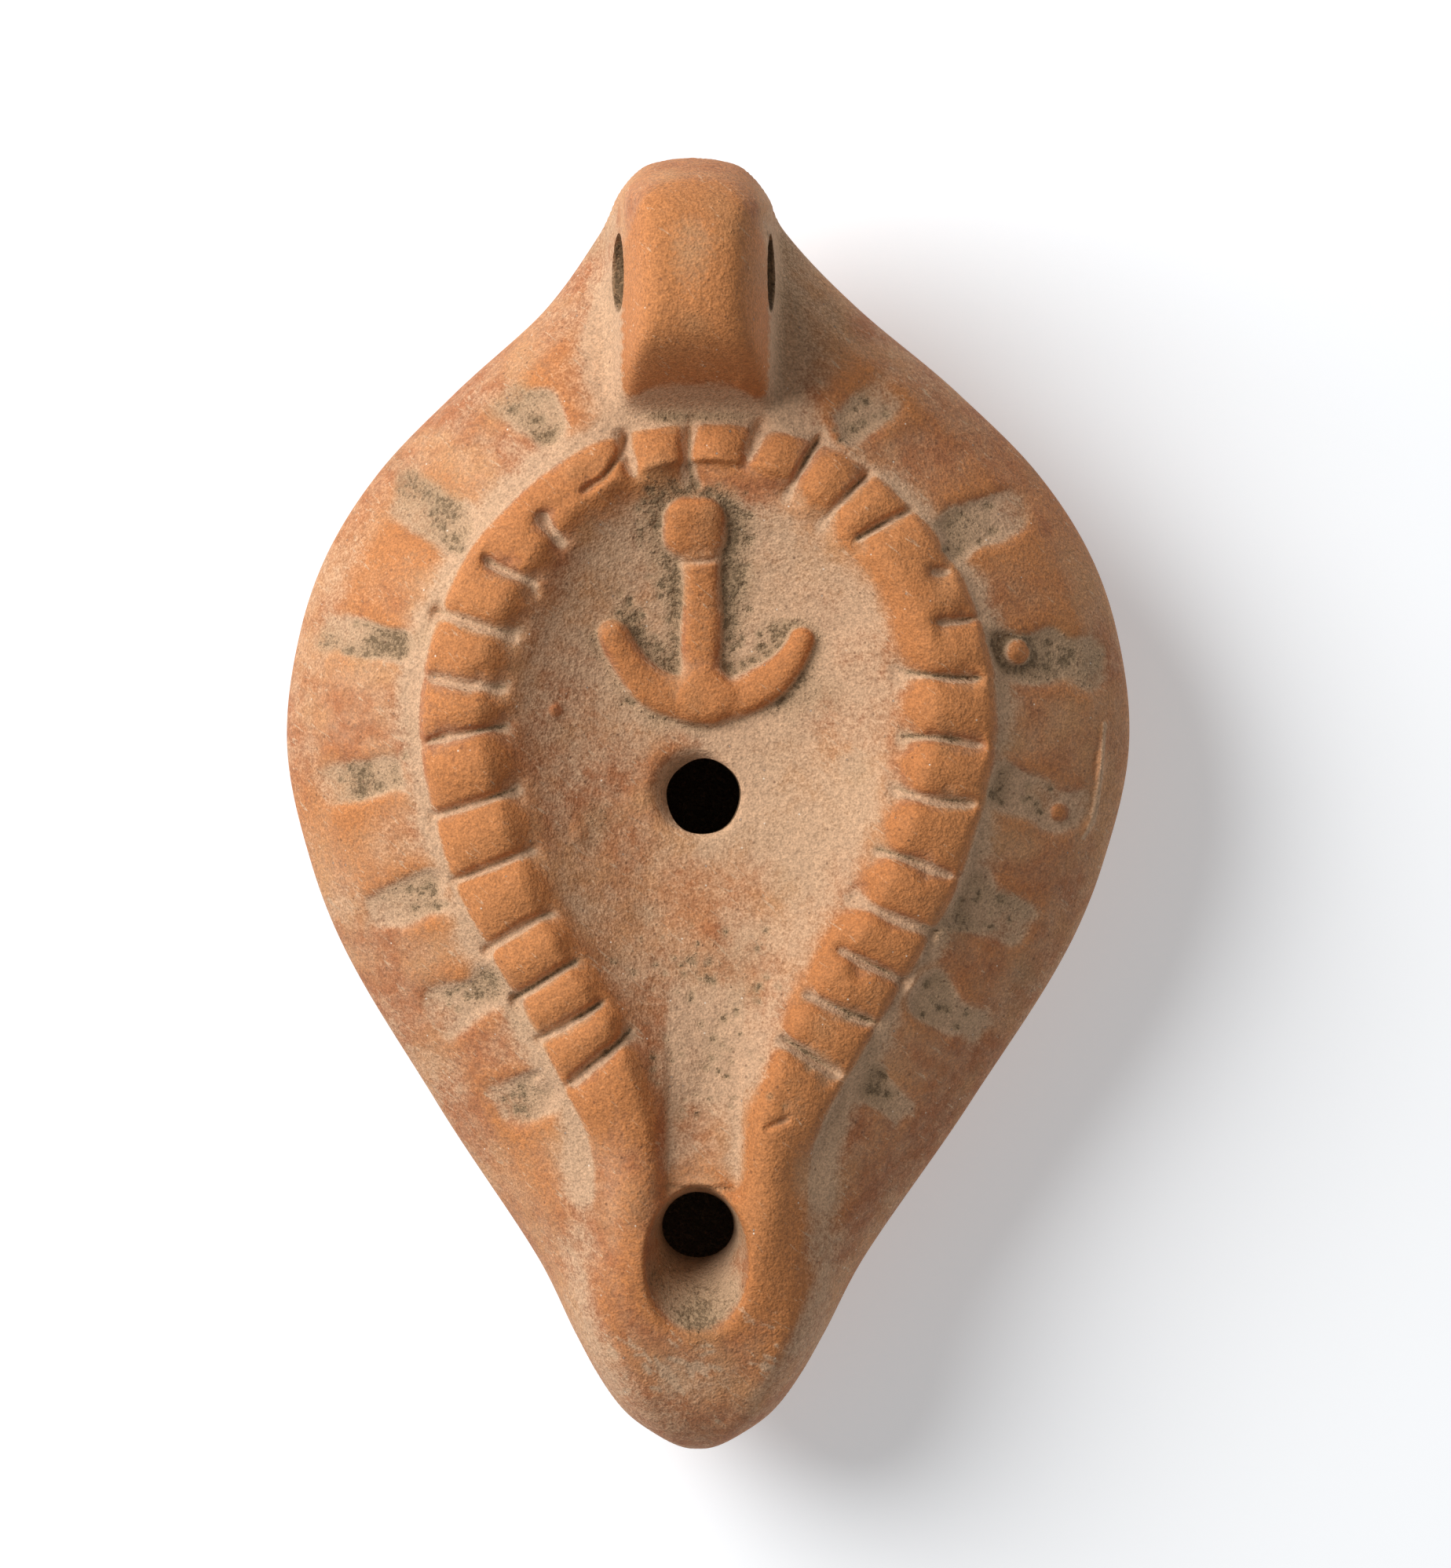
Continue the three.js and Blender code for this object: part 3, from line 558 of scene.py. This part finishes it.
# Small holes packed with soil in the bars, around the anchor and where the hollow top runs into the channel
packed = np.zeros(X.shape)
holes = [(draw.normal(0, 3.2), draw.uniform(-24, -9)) for _ in range(HOLES_IN_CHANNEL)]
holes += [(draw.uniform(-7, 7), draw.uniform(8, 25)) for _ in range(HOLES_NEAR_ANCHOR)]
holes = [(x, y) for x, y in holes if 0.25 < read(anchor_gap, x, y) < 2.2 or y < 0]
for outer_x, outer_y, inner_x, inner_y, width in BARS:
    for _ in range(HOLES_A_BAR):
        share, sideways = draw.uniform(0.25, 1), draw.uniform(-0.4, 0.4) * width
        x, y = outer_x + share * (inner_x - outer_x), outer_y + share * (inner_y - outer_y)
        turn = math.atan2(inner_y - outer_y, inner_x - outer_x)
        holes.append((x - sideways * math.sin(turn), y + sideways * math.cos(turn)))
for x, y in holes:
    near, hole = spot(x, y, draw.uniform(0.16, 0.34), 1.2)
    height[near] -= 0.16 * hole
    packed[near] = np.maximum(packed[near], hole)

# Scuffs on the nozzle's nose
scuff = np.zeros(X.shape)
scrape = np.random.default_rng(30)
for _ in range(SCUFFS):
    x, y = scrape.uniform(-7.5, 6), scrape.uniform(-46, -38.5)
    turn, length = scrape.normal(2.5, 0.5), scrape.uniform(0.6, 2)
    ends = (x, y, x + length * math.cos(turn), y + length * math.sin(turn))
    scuff = np.maximum(scuff, scratch(ends, half=0.13, wander=0.7, past=0.15, fade=0.3))
scuff *= ramp(across_ridge, 0.95, 0.75)
height -= 0.1 * scuff

# Hand-made unevenness, then the relief is rubbed soft and kept off the outline
height += sum(rise * lumps(size, seed) for rise, size, seed in UNEVENNESS)
relief = softened(height - hull, RELIEF_RUBBING) * ramp(rim_inset, 0.2, 2.5)
height = hull + relief


def top_height(x, y):
    """Top of the lamp with its carving."""
    return hull_height(x, y) + read(relief, x, y)


# Places that hold or lose dirt: hollows, the ridge's outer groove, the valleys beside the nozzle, the floor
# of the hollow top, the anchor's surroundings, the handle's foot, face and flares, the holes and the nose;
# and the ring round the big pellet, darkened as painted shade
from_handle = np.abs(X - HANDLE_X)
hollow = (softened(height, 1.3) - height) * ramp(rim_inset, 2, 4)
outside = -ridge_inset
groove = hump(np.clip(outside - 0.2, 0, None), 0, 1.7) * ramp(outside, -0.15, 0.5) * ramp(Y, -34, -26)
valley = ramp(Y, -25, -31) * hump(outside, 1.7, 1.6) * ramp(Y, -47, -38)
left_film = 0.12 * ramp(X, -8, -22) * ramp(outside, 0, 2)
discus = ramp(across_ridge, 0.7, 1.3) * ramp(Y, -23.5, -20.5)
low_discus = hump(Y, -15, 5.5) * hump(X, 0, 4.5)
in_channel = ramp(CHANNEL_HALF_WIDTH + 0.5 - np.abs(X - lean(Y)), 0, 0.6)
in_channel *= ramp(Y, -25, -21.5) * ramp(Y, -12, -16)
on_anchor = dome(anchor_gap, 0.8)
between_arms = np.maximum(ramp(1.0 - np.hypot(arm_run, arm_rise), -0.1, 0.15), ramp(Y, 14.5, 17))
round_anchor = hump(np.maximum(anchor_gap, 0), 0, 0.9 + between_arms) * ramp(anchor_gap, -0.3, 0.2)
round_anchor *= 0.65 + 0.35 * between_arms
handle_foot = hump(Y, 30.0, 0.55) * ramp(5.6 - from_handle, 0, 1)
handle_face = ramp(6 - from_handle, 0, 1) * hump(Y, 32.6, 1.6)
on_handle = ramp(6 - from_handle, 0, 1.5) * ramp(Y, 31.5, 36)
flares = ramp(from_handle + 1.6 * lumps(3.5, 27), 16, 6) * ramp(from_handle, 4.6, 6)
flares *= ramp(Y, 27, 31) * ramp(Y, 49, 44)
front_slope = hump(np.hypot((X - WICK_HOLE_X) / 3.6, (Y + 38) / 3.4), 0, 0.9) * (height < 23.5)
behind_wick = hump(np.hypot(X - WICK_HOLE_X, Y + 29.6), 0, 2.4)
nose = ramp(Y, -37, -44)
round_fill = hump(np.clip(from_fill - 2.8, 0, None), 0, 1.6)
pellet_ring_shade = hump(np.hypot(X - PELLETS[0][0], Y - PELLETS[0][1]), 1.3, 0.5)

# How much silt lies, how much dark soil clings, with painted shade laid in the same way, and how far the clay
# is rubbed bare, from 0 to 1
silt = 0.17 + bar * (0.275 + 0.225 * bar_inner + 0.2 * ramp(X, 5, 15)) + 0.7 * groove + 0.55 * valley
silt += 0.7 * notch - 0.6 * slit + (0.2 + 0.3 * ramp(X, -8, 5)) * discus + 0.5 * flares + 0.9 * burr
silt += 0.35 * in_channel + 0.3 * front_slope + left_film + np.clip(hollow, -0.3, 0.5)
silt += 0.07 * lumps(7, 21) + 0.07 * lumps(2.4, 22)
silt -= 0.25 * on_anchor + 0.6 * pellet + 0.22 * section * (1 - notch) * ramp(across_ridge, 1.1, 0.6)
silt += 0.2 * handle_face - 0.5 * on_handle
silt += 0.45 * round_fill + 0.5 * in_mouth + 0.16 * nose + 0.7 * scuff
soil_and_shade = bar * (0.52 + 0.3 * bar_inner) * (1 - 0.22 * ramp(X, 5, 15)) + 0.95 * round_anchor
# Along each notch's torn slit the dark is painted shade
soil_and_shade += 0.8 * handle_foot + 1.2 * slit + 0.5 * (crack > 0.15)
soil_and_shade += 0.85 * packed + 0.5 * low_discus + 0.5 * front_slope + 0.65 * in_mouth
# The dark ring round the big pellet is painted shade at its foot
soil_and_shade += 0.4 * pellet_ring_shade - 1.2 * pellet
soil_and_shade += 0.06 * discus + 0.1 * groove + 0.17 * lumps(1.6, 23) + 0.1 * lumps(5, 24) - 0.08
bare = np.clip(-2.2 * hollow, 0, 1) + 0.25 * lumps(6, 25) + 0.7 * on_handle
bare += 0.3 * section * (1 - 0.9 * nozzle) + 0.2 * on_anchor
bare -= round_fill + in_mouth + 0.4 * nose + behind_wick
DEPOSITS = {"silt": np.clip(silt, 0, 1), "soil_and_shade": np.clip(soil_and_shade, 0, 1), "bare": np.clip(bare, 0, 1)}

# The same on the underside, and in the oil chamber and the holes, where settled soil is darkened further as
# painted shade
UNDERSIDE = {"silt": 0.15, "soil_and_shade": 0.05, "bare": 0.05}
INSIDE_SOIL_AND_SHADE = {"silt": 0.0, "soil_and_shade": 1.2, "bare": 0.0}

# Colours of the clay and of what lies on it, the soil colour also standing for painted shade and the pore
# colour being painted shade, and sizes of their patterns
CLAY = {
    "red": "#B27148", "buff": "#C99264", "pink": "#CA9C78", "rubbed": "#C47D46", "silt": "#CEA987",
    "stain": "#A58B67", "soil_and_shade": "#5E4B33", "flake": "#F0DCC6", "pore_shade": "#5E3C28",
}
CLOUD, MOTTLE, SAND, GRAIN, CRUMB, FLAKE_SPACING = 9, 1.7, 0.4, 0.16, 0.4, 0.9
SCRATCH_SIZE = (1.5, 0.25, 1.5)
BUMP_DEPTH = 0.115

# Spacing of the mesh: fine where the surface turns, coarse where it is plain
SPACINGS = [(0.55, 0), (0.275, 0.6), (0.1375, 3.6)]
BOTTOM_SPACINGS = [(1.2, 0)]
RIM_ROWS = [0.03, 0.1, 0.22, 0.4, 0.65]
LATTICE_CLEAR = 0.85


def turning():
    """How sharply the surface turns at every place in plan, per millimetre."""
    down, over = np.gradient(height, PITCH)
    bend = [np.abs(second) for first in (down, over) for second in np.gradient(first, PITCH)]
    sharp = sum(bend) / (1 + down ** 2 + over ** 2)
    for _ in range(3):
        sharp = np.maximum(sharp, np.maximum(np.roll(sharp, 1, 0), np.roll(sharp, -1, 0)))
        sharp = np.maximum(sharp, np.maximum(np.roll(sharp, 1, 1), np.roll(sharp, -1, 1)))
    return sharp


def lattice(spacing):
    """Staggered rows of points over the plan."""
    rows = np.arange(int(2 * LONG / (spacing * math.sqrt(0.75))) + 1)
    places = np.arange(int(2 * WIDE / spacing) + 1)
    place, row = np.meshgrid(places, rows)
    x = place * spacing + (row % 2) * spacing / 2 - WIDE
    return np.stack([x.ravel(), (row * spacing * math.sqrt(0.75)).ravel() - LONG], 1)


def plan_points(spacings, sharp):
    """Points inside the rim, closer together where the surface turns."""
    kept = []
    for spacing, least in spacings:
        points = lattice(spacing)
        inside = read(rim_inset, *points.T) > LATTICE_CLEAR
        points = points[inside]
        kept.append(points[read(sharp, *points.T) >= least])
    merged = np.unique(np.round(np.concatenate(kept), 4), axis=0)
    return merged + np.random.default_rng(31).uniform(-0.012, 0.012, merged.shape)


def rim_rows():
    """Rows of points just inside the rim, each set between those of the row before."""
    tangent = np.roll(rim_line, -1, axis=0) - np.roll(rim_line, 1, axis=0)
    inward = np.stack([-tangent[:, 1], tangent[:, 0]], 1) / np.linalg.norm(tangent, axis=1)[:, None]
    rows = []
    for i, inset in enumerate(RIM_ROWS):
        line = rim_line + inward * inset
        rows.append(line if i % 2 else (line + np.roll(line, -1, axis=0)) / 2)
    return np.concatenate(rows)


def skin(points, height_at):
    """Places and triangles of one side of the lamp; the first places are the rim's, in order."""
    flat = np.concatenate([rim_line, rim_rows(), points])
    ring = [(i, (i + 1) % RIM_POINTS) for i in range(RIM_POINTS)]
    found = delaunay_2d_cdt([Vector(p) for p in flat], ring, [], 1, 1e-6)
    plan = np.array([tuple(p) for p in found[0]])
    triangles = np.array(found[2])
    order = np.full(len(plan), -1)
    for place, given in enumerate(found[3]):
        rim = [g for g in given if g < RIM_POINTS]
        if rim:
            order[place] = rim[0]
    order[order < 0] = np.arange(RIM_POINTS, RIM_POINTS + (order < 0).sum())
    sorted_plan = np.empty_like(plan)
    sorted_plan[order] = plan
    z = height_at(*sorted_plan.T)
    z[:RIM_POINTS] = seam(sorted_plan[:RIM_POINTS, 1])
    return np.column_stack([sorted_plan, z]), order[triangles]


def new_piece(name, places, faces):
    mesh = bpy.data.meshes.new(name)
    mesh.from_pydata((np.asarray(places) * MM).tolist(), [], [tuple(f) for f in faces])
    piece = bpy.data.objects.new(name, mesh)
    bpy.context.scene.collection.objects.link(piece)
    return piece


def tube(name, rings):
    """Closed piece through level rings of points, with its ends capped."""
    count = len(rings[0])
    places = np.concatenate([*rings, [np.mean(rings[0], 0)], [np.mean(rings[-1], 0)]])
    faces = []
    for r in range(len(rings) - 1):
        for i in range(count):
            a, b = r * count + i, r * count + (i + 1) % count
            faces.append((a, b, b + count, a + count))
    low, high = len(rings) * count, len(rings) * count + 1
    last = (len(rings) - 1) * count
    faces += [((i + 1) % count, i, low) for i in range(count)]
    faces += [(last + i, last + (i + 1) % count, high) for i in range(count)]
    return new_piece(name, places, faces)


def make_chamber():
    """Hollow of the oil chamber, wide and flat as the body is."""
    angles = np.linspace(0, 2 * math.pi, 60, endpoint=False)
    rings = []
    for turn in np.linspace(0.03, math.pi - 0.03, 60):
        share = (1 - math.cos(turn)) / 2
        y = CHAMBER_FRONT + share * (CHAMBER_BACK - CHAMBER_FRONT)
        ends = math.sqrt(1 - abs(2 * share - 1) ** CHAMBER_BLUNTNESS)
        half = (half_width(y) - CHAMBER_WALL) * ends
        roof, floor = chamber_roof(y), chamber_floor(y)
        x = lean(y) - half * np.cos(angles)
        z = (roof + floor) / 2 + (roof - floor) / 2 * ends * np.sin(angles)
        rings.append(np.stack([x, np.full(60, y), z], 1))
    return tube("chamber_hollow", rings)


def make_shaft(name, x, y, radius_x, radius_y, seed):
    """Hole pierced through the clay by hand, slightly out of round."""
    angles = np.linspace(0, 2 * math.pi, 72, endpoint=False)
    phase = np.random.default_rng(seed).uniform(0, 6, 3)
    wobble = 1 + 0.02 * np.cos(2 * angles + phase[0]) + 0.012 * np.cos(5 * angles + phase[1])
    rings = []
    for z in np.linspace(*SHAFT_ENDS, 14):
        drift = 0.08 * math.sin(z + phase[2])
        ring = [x + drift + radius_x * wobble * np.cos(angles), y + radius_y * wobble * np.sin(angles)]
        rings.append(np.stack([*ring, np.full(72, z)], 1))
    return tube(name, rings)


def make_handle_shaft():
    """Round hole through the handle, widened a little at both mouths."""
    hole = HANDLE_HOLE
    angles = np.linspace(0, 2 * math.pi, 64, endpoint=False)
    rings = []
    for x in np.linspace(-hole["reach"] / 2, hole["reach"] / 2, 81):
        mouth_gap = np.abs(abs(x - HANDLE_X) - 5.6)
        flare = 0.2 * math.exp(-(mouth_gap / 0.7) ** 2)
        radius = hole["radius"] * (0.97 + 0.02 * np.cos(3 * angles + x)) + flare
        y, z = hole["y"] + radius * np.cos(angles), hole["z"] + radius * np.sin(angles)
        rings.append(np.stack([np.full(64, x), y, z], 1))
    return tube("handle_hollow", rings)


def hollow_out(piece, cutters):
    """Cuts the hollows out of the lamp and takes the cutters away."""
    for cutter in cutters:
        cut = piece.modifiers.new("hollow", "BOOLEAN")
        cut.operation, cut.object, cut.solver = "DIFFERENCE", cutter, "MANIFOLD"
    bpy.context.view_layer.update()
    whole = piece.evaluated_get(bpy.context.evaluated_depsgraph_get())
    mesh = bpy.data.meshes.new_from_object(whole)
    piece.modifiers.clear()
    piece.data = mesh
    mesh.name = piece.name
    for cutter in cutters:
        bpy.data.objects.remove(cutter)


def make_lamp():
    sharp = turning()
    top, top_faces = skin(plan_points(SPACINGS, sharp), top_height)
    bottom, bottom_faces = skin(plan_points(BOTTOM_SPACINGS, sharp), underside_height)
    below = bottom_faces[:, ::-1].copy()
    below[below >= RIM_POINTS] += len(top) - RIM_POINTS
    places = np.concatenate([top, bottom[RIM_POINTS:]])
    lamp = new_piece("lamp_clay", places, np.concatenate([top_faces, below]))
    x, y, radius = (FILL_HOLE[name] for name in ("x", "y", "radius"))
    hollow_out(lamp, [
        make_chamber(),
        make_shaft("fill_hollow", x, y, 0.97 * radius, 1.02 * radius, 41),
        make_shaft("wick_hollow", WICK_HOLE_X, WICK_HOLE[0][1], 2.72, 2.2, 42),
        make_handle_shaft(),
    ])
    lamp.data.shade_smooth()
    lamp.data.set_sharp_from_angle(angle=math.radians(55))
    return lamp


def lay_deposits(lamp):
    """Stores how much silt, soil with painted shade, and bare clay each place on the top shows."""
    mesh = lamp.data
    places = np.zeros(len(mesh.vertices) * 3, np.float32)
    mesh.vertices.foreach_get("co", places)
    x, y, z = places.reshape(-1, 3).T.astype(float) / MM
    on_top = ramp(z - top_height(x, y), -0.6, -0.15)
    inside = z - underside_height(x, y) > 1
    for name, field in DEPOSITS.items():
        unseen = np.where(inside, INSIDE_SOIL_AND_SHADE[name], UNDERSIDE[name])
        value = read(field, x, y) * on_top + unseen * (1 - on_top)
        layer = mesh.attributes.new(name, "FLOAT", "POINT")
        layer.data.foreach_set("value", value.astype(np.float32))


def linear(colour):
    """An sRGB hex colour as linear red, green, blue and full cover."""
    parts = [int(colour[i:i + 2], 16) / 255 for i in (1, 3, 5)]
    return [p / 12.92 if p <= 0.04045 else ((p + 0.055) / 1.055) ** 2.4 for p in parts] + [1]


def node(tree, kind, inputs=None, **settings):
    """Adds a node with its settings, and links or sets its inputs by name or place."""
    made = tree.nodes.new("ShaderNode" + kind)
    for name, value in settings.items():
        setattr(made, name, value)
    usable = [socket for socket in made.inputs if socket.enabled]
    for name, value in (inputs or {}).items():
        socket = usable[name] if isinstance(name, int) else next(s for s in usable if s.name == name)
        if isinstance(value, bpy.types.NodeSocket):
            tree.links.new(value, socket)
        else:
            socket.default_value = value
    return next((socket for socket in made.outputs if socket.enabled), None)


def terracotta_pressed_unglazed():
    """Low-fired red clay pressed in a mould and left unglazed: a dry, sandy skin, orange where it is
    rubbed, dull and pinkish where a film of lime and dust stays on it, olive soil caught in the hollows,
    the same dark soil colours laid as painted shade in the holes, along the notch slits and round a pellet,
    and small pores painted dark as shade."""
    material = bpy.data.materials.new("terracotta_pressed_unglazed")
    material.use_nodes = True
    tree = material.node_tree
    tree.nodes.clear()
    place = node(tree, "TexCoord").node.outputs["Object"]
    mm = node(tree, "VectorMath", {0: place, "Scale": 1 / MM}, operation="SCALE")
    silt, soil_and_shade, bare = (
        node(tree, "Attribute", attribute_name=name).node.outputs["Fac"] for name in DEPOSITS
    )
    cover = {name: linear(colour) for name, colour in CLAY.items()}

    # Clouds of the firing, mottling of the skin, sand of two sizes, and rubbed clay
    clouds, mottle, sand, grain, crumbs = (
        node(tree, "TexNoise", {"Vector": mm, "Scale": 1 / size, "Detail": detail, "Roughness": roughness})
        for size, detail, roughness in (
            (CLOUD, 3, 0.6), (MOTTLE, 3, 0.65), (SAND, 1, 0.7), (GRAIN, 1, 0.6), (CRUMB, 3, 0.7),
        )
    )
    cloud_share = node(tree, "MapRange", {"Value": clouds, 1: 0.38, 2: 0.62}, interpolation_type="SMOOTHSTEP")
    colour = node(tree, "Mix", {
        "Factor": cloud_share, "A": cover["red"], "B": cover["buff"],
    }, data_type="RGBA")
    mottle_share = node(tree, "MapRange", {"Value": mottle, 1: 0.4, 2: 0.7, 4: 0.6})
    colour = node(tree, "Mix", {"Factor": mottle_share, "A": colour, "B": cover["pink"]}, data_type="RGBA")
    bare_patch = node(tree, "Math", {0: sand, 1: 0.7, 2: bare}, operation="MULTIPLY_ADD")
    bare_patch = node(tree, "Math", {0: bare_patch, 1: mottle}, operation="ADD")
    bare_share = node(tree, "MapRange", {"Value": bare_patch, 1: 0.9, 2: 1.6, 4: 0.9})
    colour = node(tree, "Mix", {"Factor": bare_share, "A": colour, "B": cover["rubbed"]}, data_type="RGBA")

    # Film of silt, its edge broken up by the mottling, the sand and slanting scratches
    silt_patch = silt
    for pattern, strength in ((mottle, 0.65), (sand, 0.4), (grain, 0.45)):
        silt_patch = node(tree, "Math", {0: pattern, 1: strength, 2: silt_patch}, operation="MULTIPLY_ADD")
    slant = node(tree, "Mapping", {
        "Vector": mm, "Rotation": (0, 0, -0.7), "Scale": SCRATCH_SIZE,
    }, vector_type="TEXTURE")
    scratches = node(tree, "TexNoise", {
        "Vector": slant, "Scale": 1, "Detail": 1, "Roughness": 0.5, "Distortion": 1.2,
    })
    scratch_share = node(tree, "MapRange", {"Value": scratches, 1: 0.64, 2: 0.76, 4: 0.55})
    silt_patch = node(tree, "Math", {0: silt_patch, 1: scratch_share}, operation="ADD")
    silt_share = node(tree, "MapRange", {
        "Value": silt_patch, 1: 0.94, 2: 1.54, 4: 0.84,
    }, interpolation_type="SMOOTHSTEP")
    colour = node(tree, "Mix", {"Factor": silt_share, "A": colour, "B": cover["silt"]}, data_type="RGBA")

    # Stain and crumbs of soil, gathered where the hollows hold them, and laid as painted shade in the holes,
    # along the notch slits and round the big pellet
    stain_share = node(tree, "MapRange", {"Value": soil_and_shade, 1: 0.15, 2: 1.0, 4: 0.55})
    colour = node(tree, "Mix", {"Factor": stain_share, "A": colour, "B": cover["stain"]}, data_type="RGBA")
    soil_patch = node(tree, "Math", {0: crumbs, 1: 3.0, 2: soil_and_shade}, operation="MULTIPLY_ADD")
    soil_share = node(tree, "MapRange", {"Value": soil_patch, 1: 2.15, 2: 2.75, 4: 0.8})
    colour = node(tree, "Mix", {"Factor": soil_share, "A": colour, "B": cover["soil_and_shade"]}, data_type="RGBA")

    # Light and dark sand in the clay
    for pattern, darkest, lightest in ((grain, 0.77, 1.21), (sand, 0.84, 1.14)):
        shade = node(tree, "MapRange", {"Value": pattern, 1: 0.3, 2: 0.7, 3: darkest, 4: lightest})
        colour = node(tree, "Mix", {
            "Factor": 1.0, "A": colour, "B": shade,
        }, data_type="RGBA", blend_type="MULTIPLY")

    # A few bright flakes, and dark dots of painted shade for small open pores
    flakes = node(tree, "TexVoronoi", {"Vector": mm, "Scale": 1 / FLAKE_SPACING})
    chance = node(tree, "SeparateColor", {0: flakes.node.outputs["Color"]}).node.outputs
    for size, core, strength, choice, limit, pick, name in (
        (0.1, 0.05, 1.0, 0, 0.8, "GREATER_THAN", "flake"), (0.17, 0.08, 0.55, 1, 0.35, "LESS_THAN", "pore_shade"),
    ):
        speck = node(tree, "MapRange", {"Value": flakes, 1: size, 2: core, 4: strength})
        picked = node(tree, "Math", {0: chance[choice], 1: limit}, operation=pick)
        speck = node(tree, "Math", {0: speck, 1: picked}, operation="MULTIPLY")
        colour = node(tree, "Mix", {"Factor": speck, "A": colour, "B": cover[name]}, data_type="RGBA")

    # Bump of the sandy skin and of the crumbs
    skin_height = node(tree, "Math", {0: grain, 1: 0.5, 2: sand}, operation="MULTIPLY_ADD")
    skin_height = node(tree, "Math", {0: crumbs, 1: soil_share, 2: skin_height}, operation="MULTIPLY_ADD")
    bump = node(tree, "Bump", {"Height": skin_height, "Strength": 1.0, "Distance": BUMP_DEPTH * MM})
    roughness = node(tree, "MapRange", {"Value": silt_share, 3: 0.82, 4: 0.97})
    surface = node(tree, "BsdfPrincipled", {
        "Base Color": colour, "Roughness": roughness, "Normal": bump, "IOR": 1.45,
    })
    node(tree, "OutputMaterial", {"Surface": surface})
    return material


def acrylic_white_lit():
    """White acrylic table lit softly from below, which keeps the ground white and the shadows pale."""
    material = bpy.data.materials.new("acrylic_white_lit")
    material.use_nodes = True
    shader = material.node_tree.nodes["Principled BSDF"]
    shader.inputs["Base Color"].default_value = linear("#EDEFF1")
    shader.inputs["Roughness"].default_value = 0.95
    shader.inputs["Emission Color"].default_value = linear("#FAFCFF")
    shader.inputs["Emission Strength"].default_value = 0.31
    return material


def make_floor():
    side = 900
    corners = [(-side, -side, 0), (side, -side, 0), (side, side, 0), (-side, side, 0)]
    floor = new_piece("floor", corners, [(0, 1, 2, 3)])
    floor.data.materials.append(acrylic_white_lit())


def make_light(name, place, width, power):
    light = bpy.data.lights.new(name, "AREA")
    light.shape, light.size, light.energy = "DISK", width * MM, power
    hung = bpy.data.objects.new(name, light)
    hung.location = Vector(place) * MM
    hung.rotation_mode = "QUATERNION"
    hung.rotation_quaternion = (-Vector(place)).to_track_quat("-Z", "Y")
    bpy.context.scene.collection.objects.link(hung)


def make_camera():
    """Camera straight above, with the picture's height taking in the field at the seam's level."""
    camera = bpy.data.objects.new("camera", bpy.data.cameras.new("camera"))
    camera.location = [length * MM for length in CAMERA_PLACE]
    camera.data.sensor_width = SENSOR
    camera.data.lens = SENSOR * (CAMERA_PLACE[2] - FIELD_LEVEL) / FIELD_HEIGHT
    camera.data.clip_start = 0.01
    bpy.context.scene.collection.objects.link(camera)
    bpy.context.scene.camera = camera


lamp = make_lamp()
lay_deposits(lamp)
lamp.data.materials.clear()
lamp.data.materials.append(terracotta_pressed_unglazed())
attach(lamp, "root")
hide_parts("lamp")

make_floor()
make_camera()
make_light("window_left", (-485, 280, 515), 560, 6.5)
world = bpy.data.worlds.new("white_room")
world.use_nodes = True
world.node_tree.nodes["Background"].inputs["Color"].default_value = linear("#FFFFFF")
world.node_tree.nodes["Background"].inputs["Strength"].default_value = 0.21
bpy.context.scene.world = world
bpy.context.scene.view_settings.view_transform = "Standard"
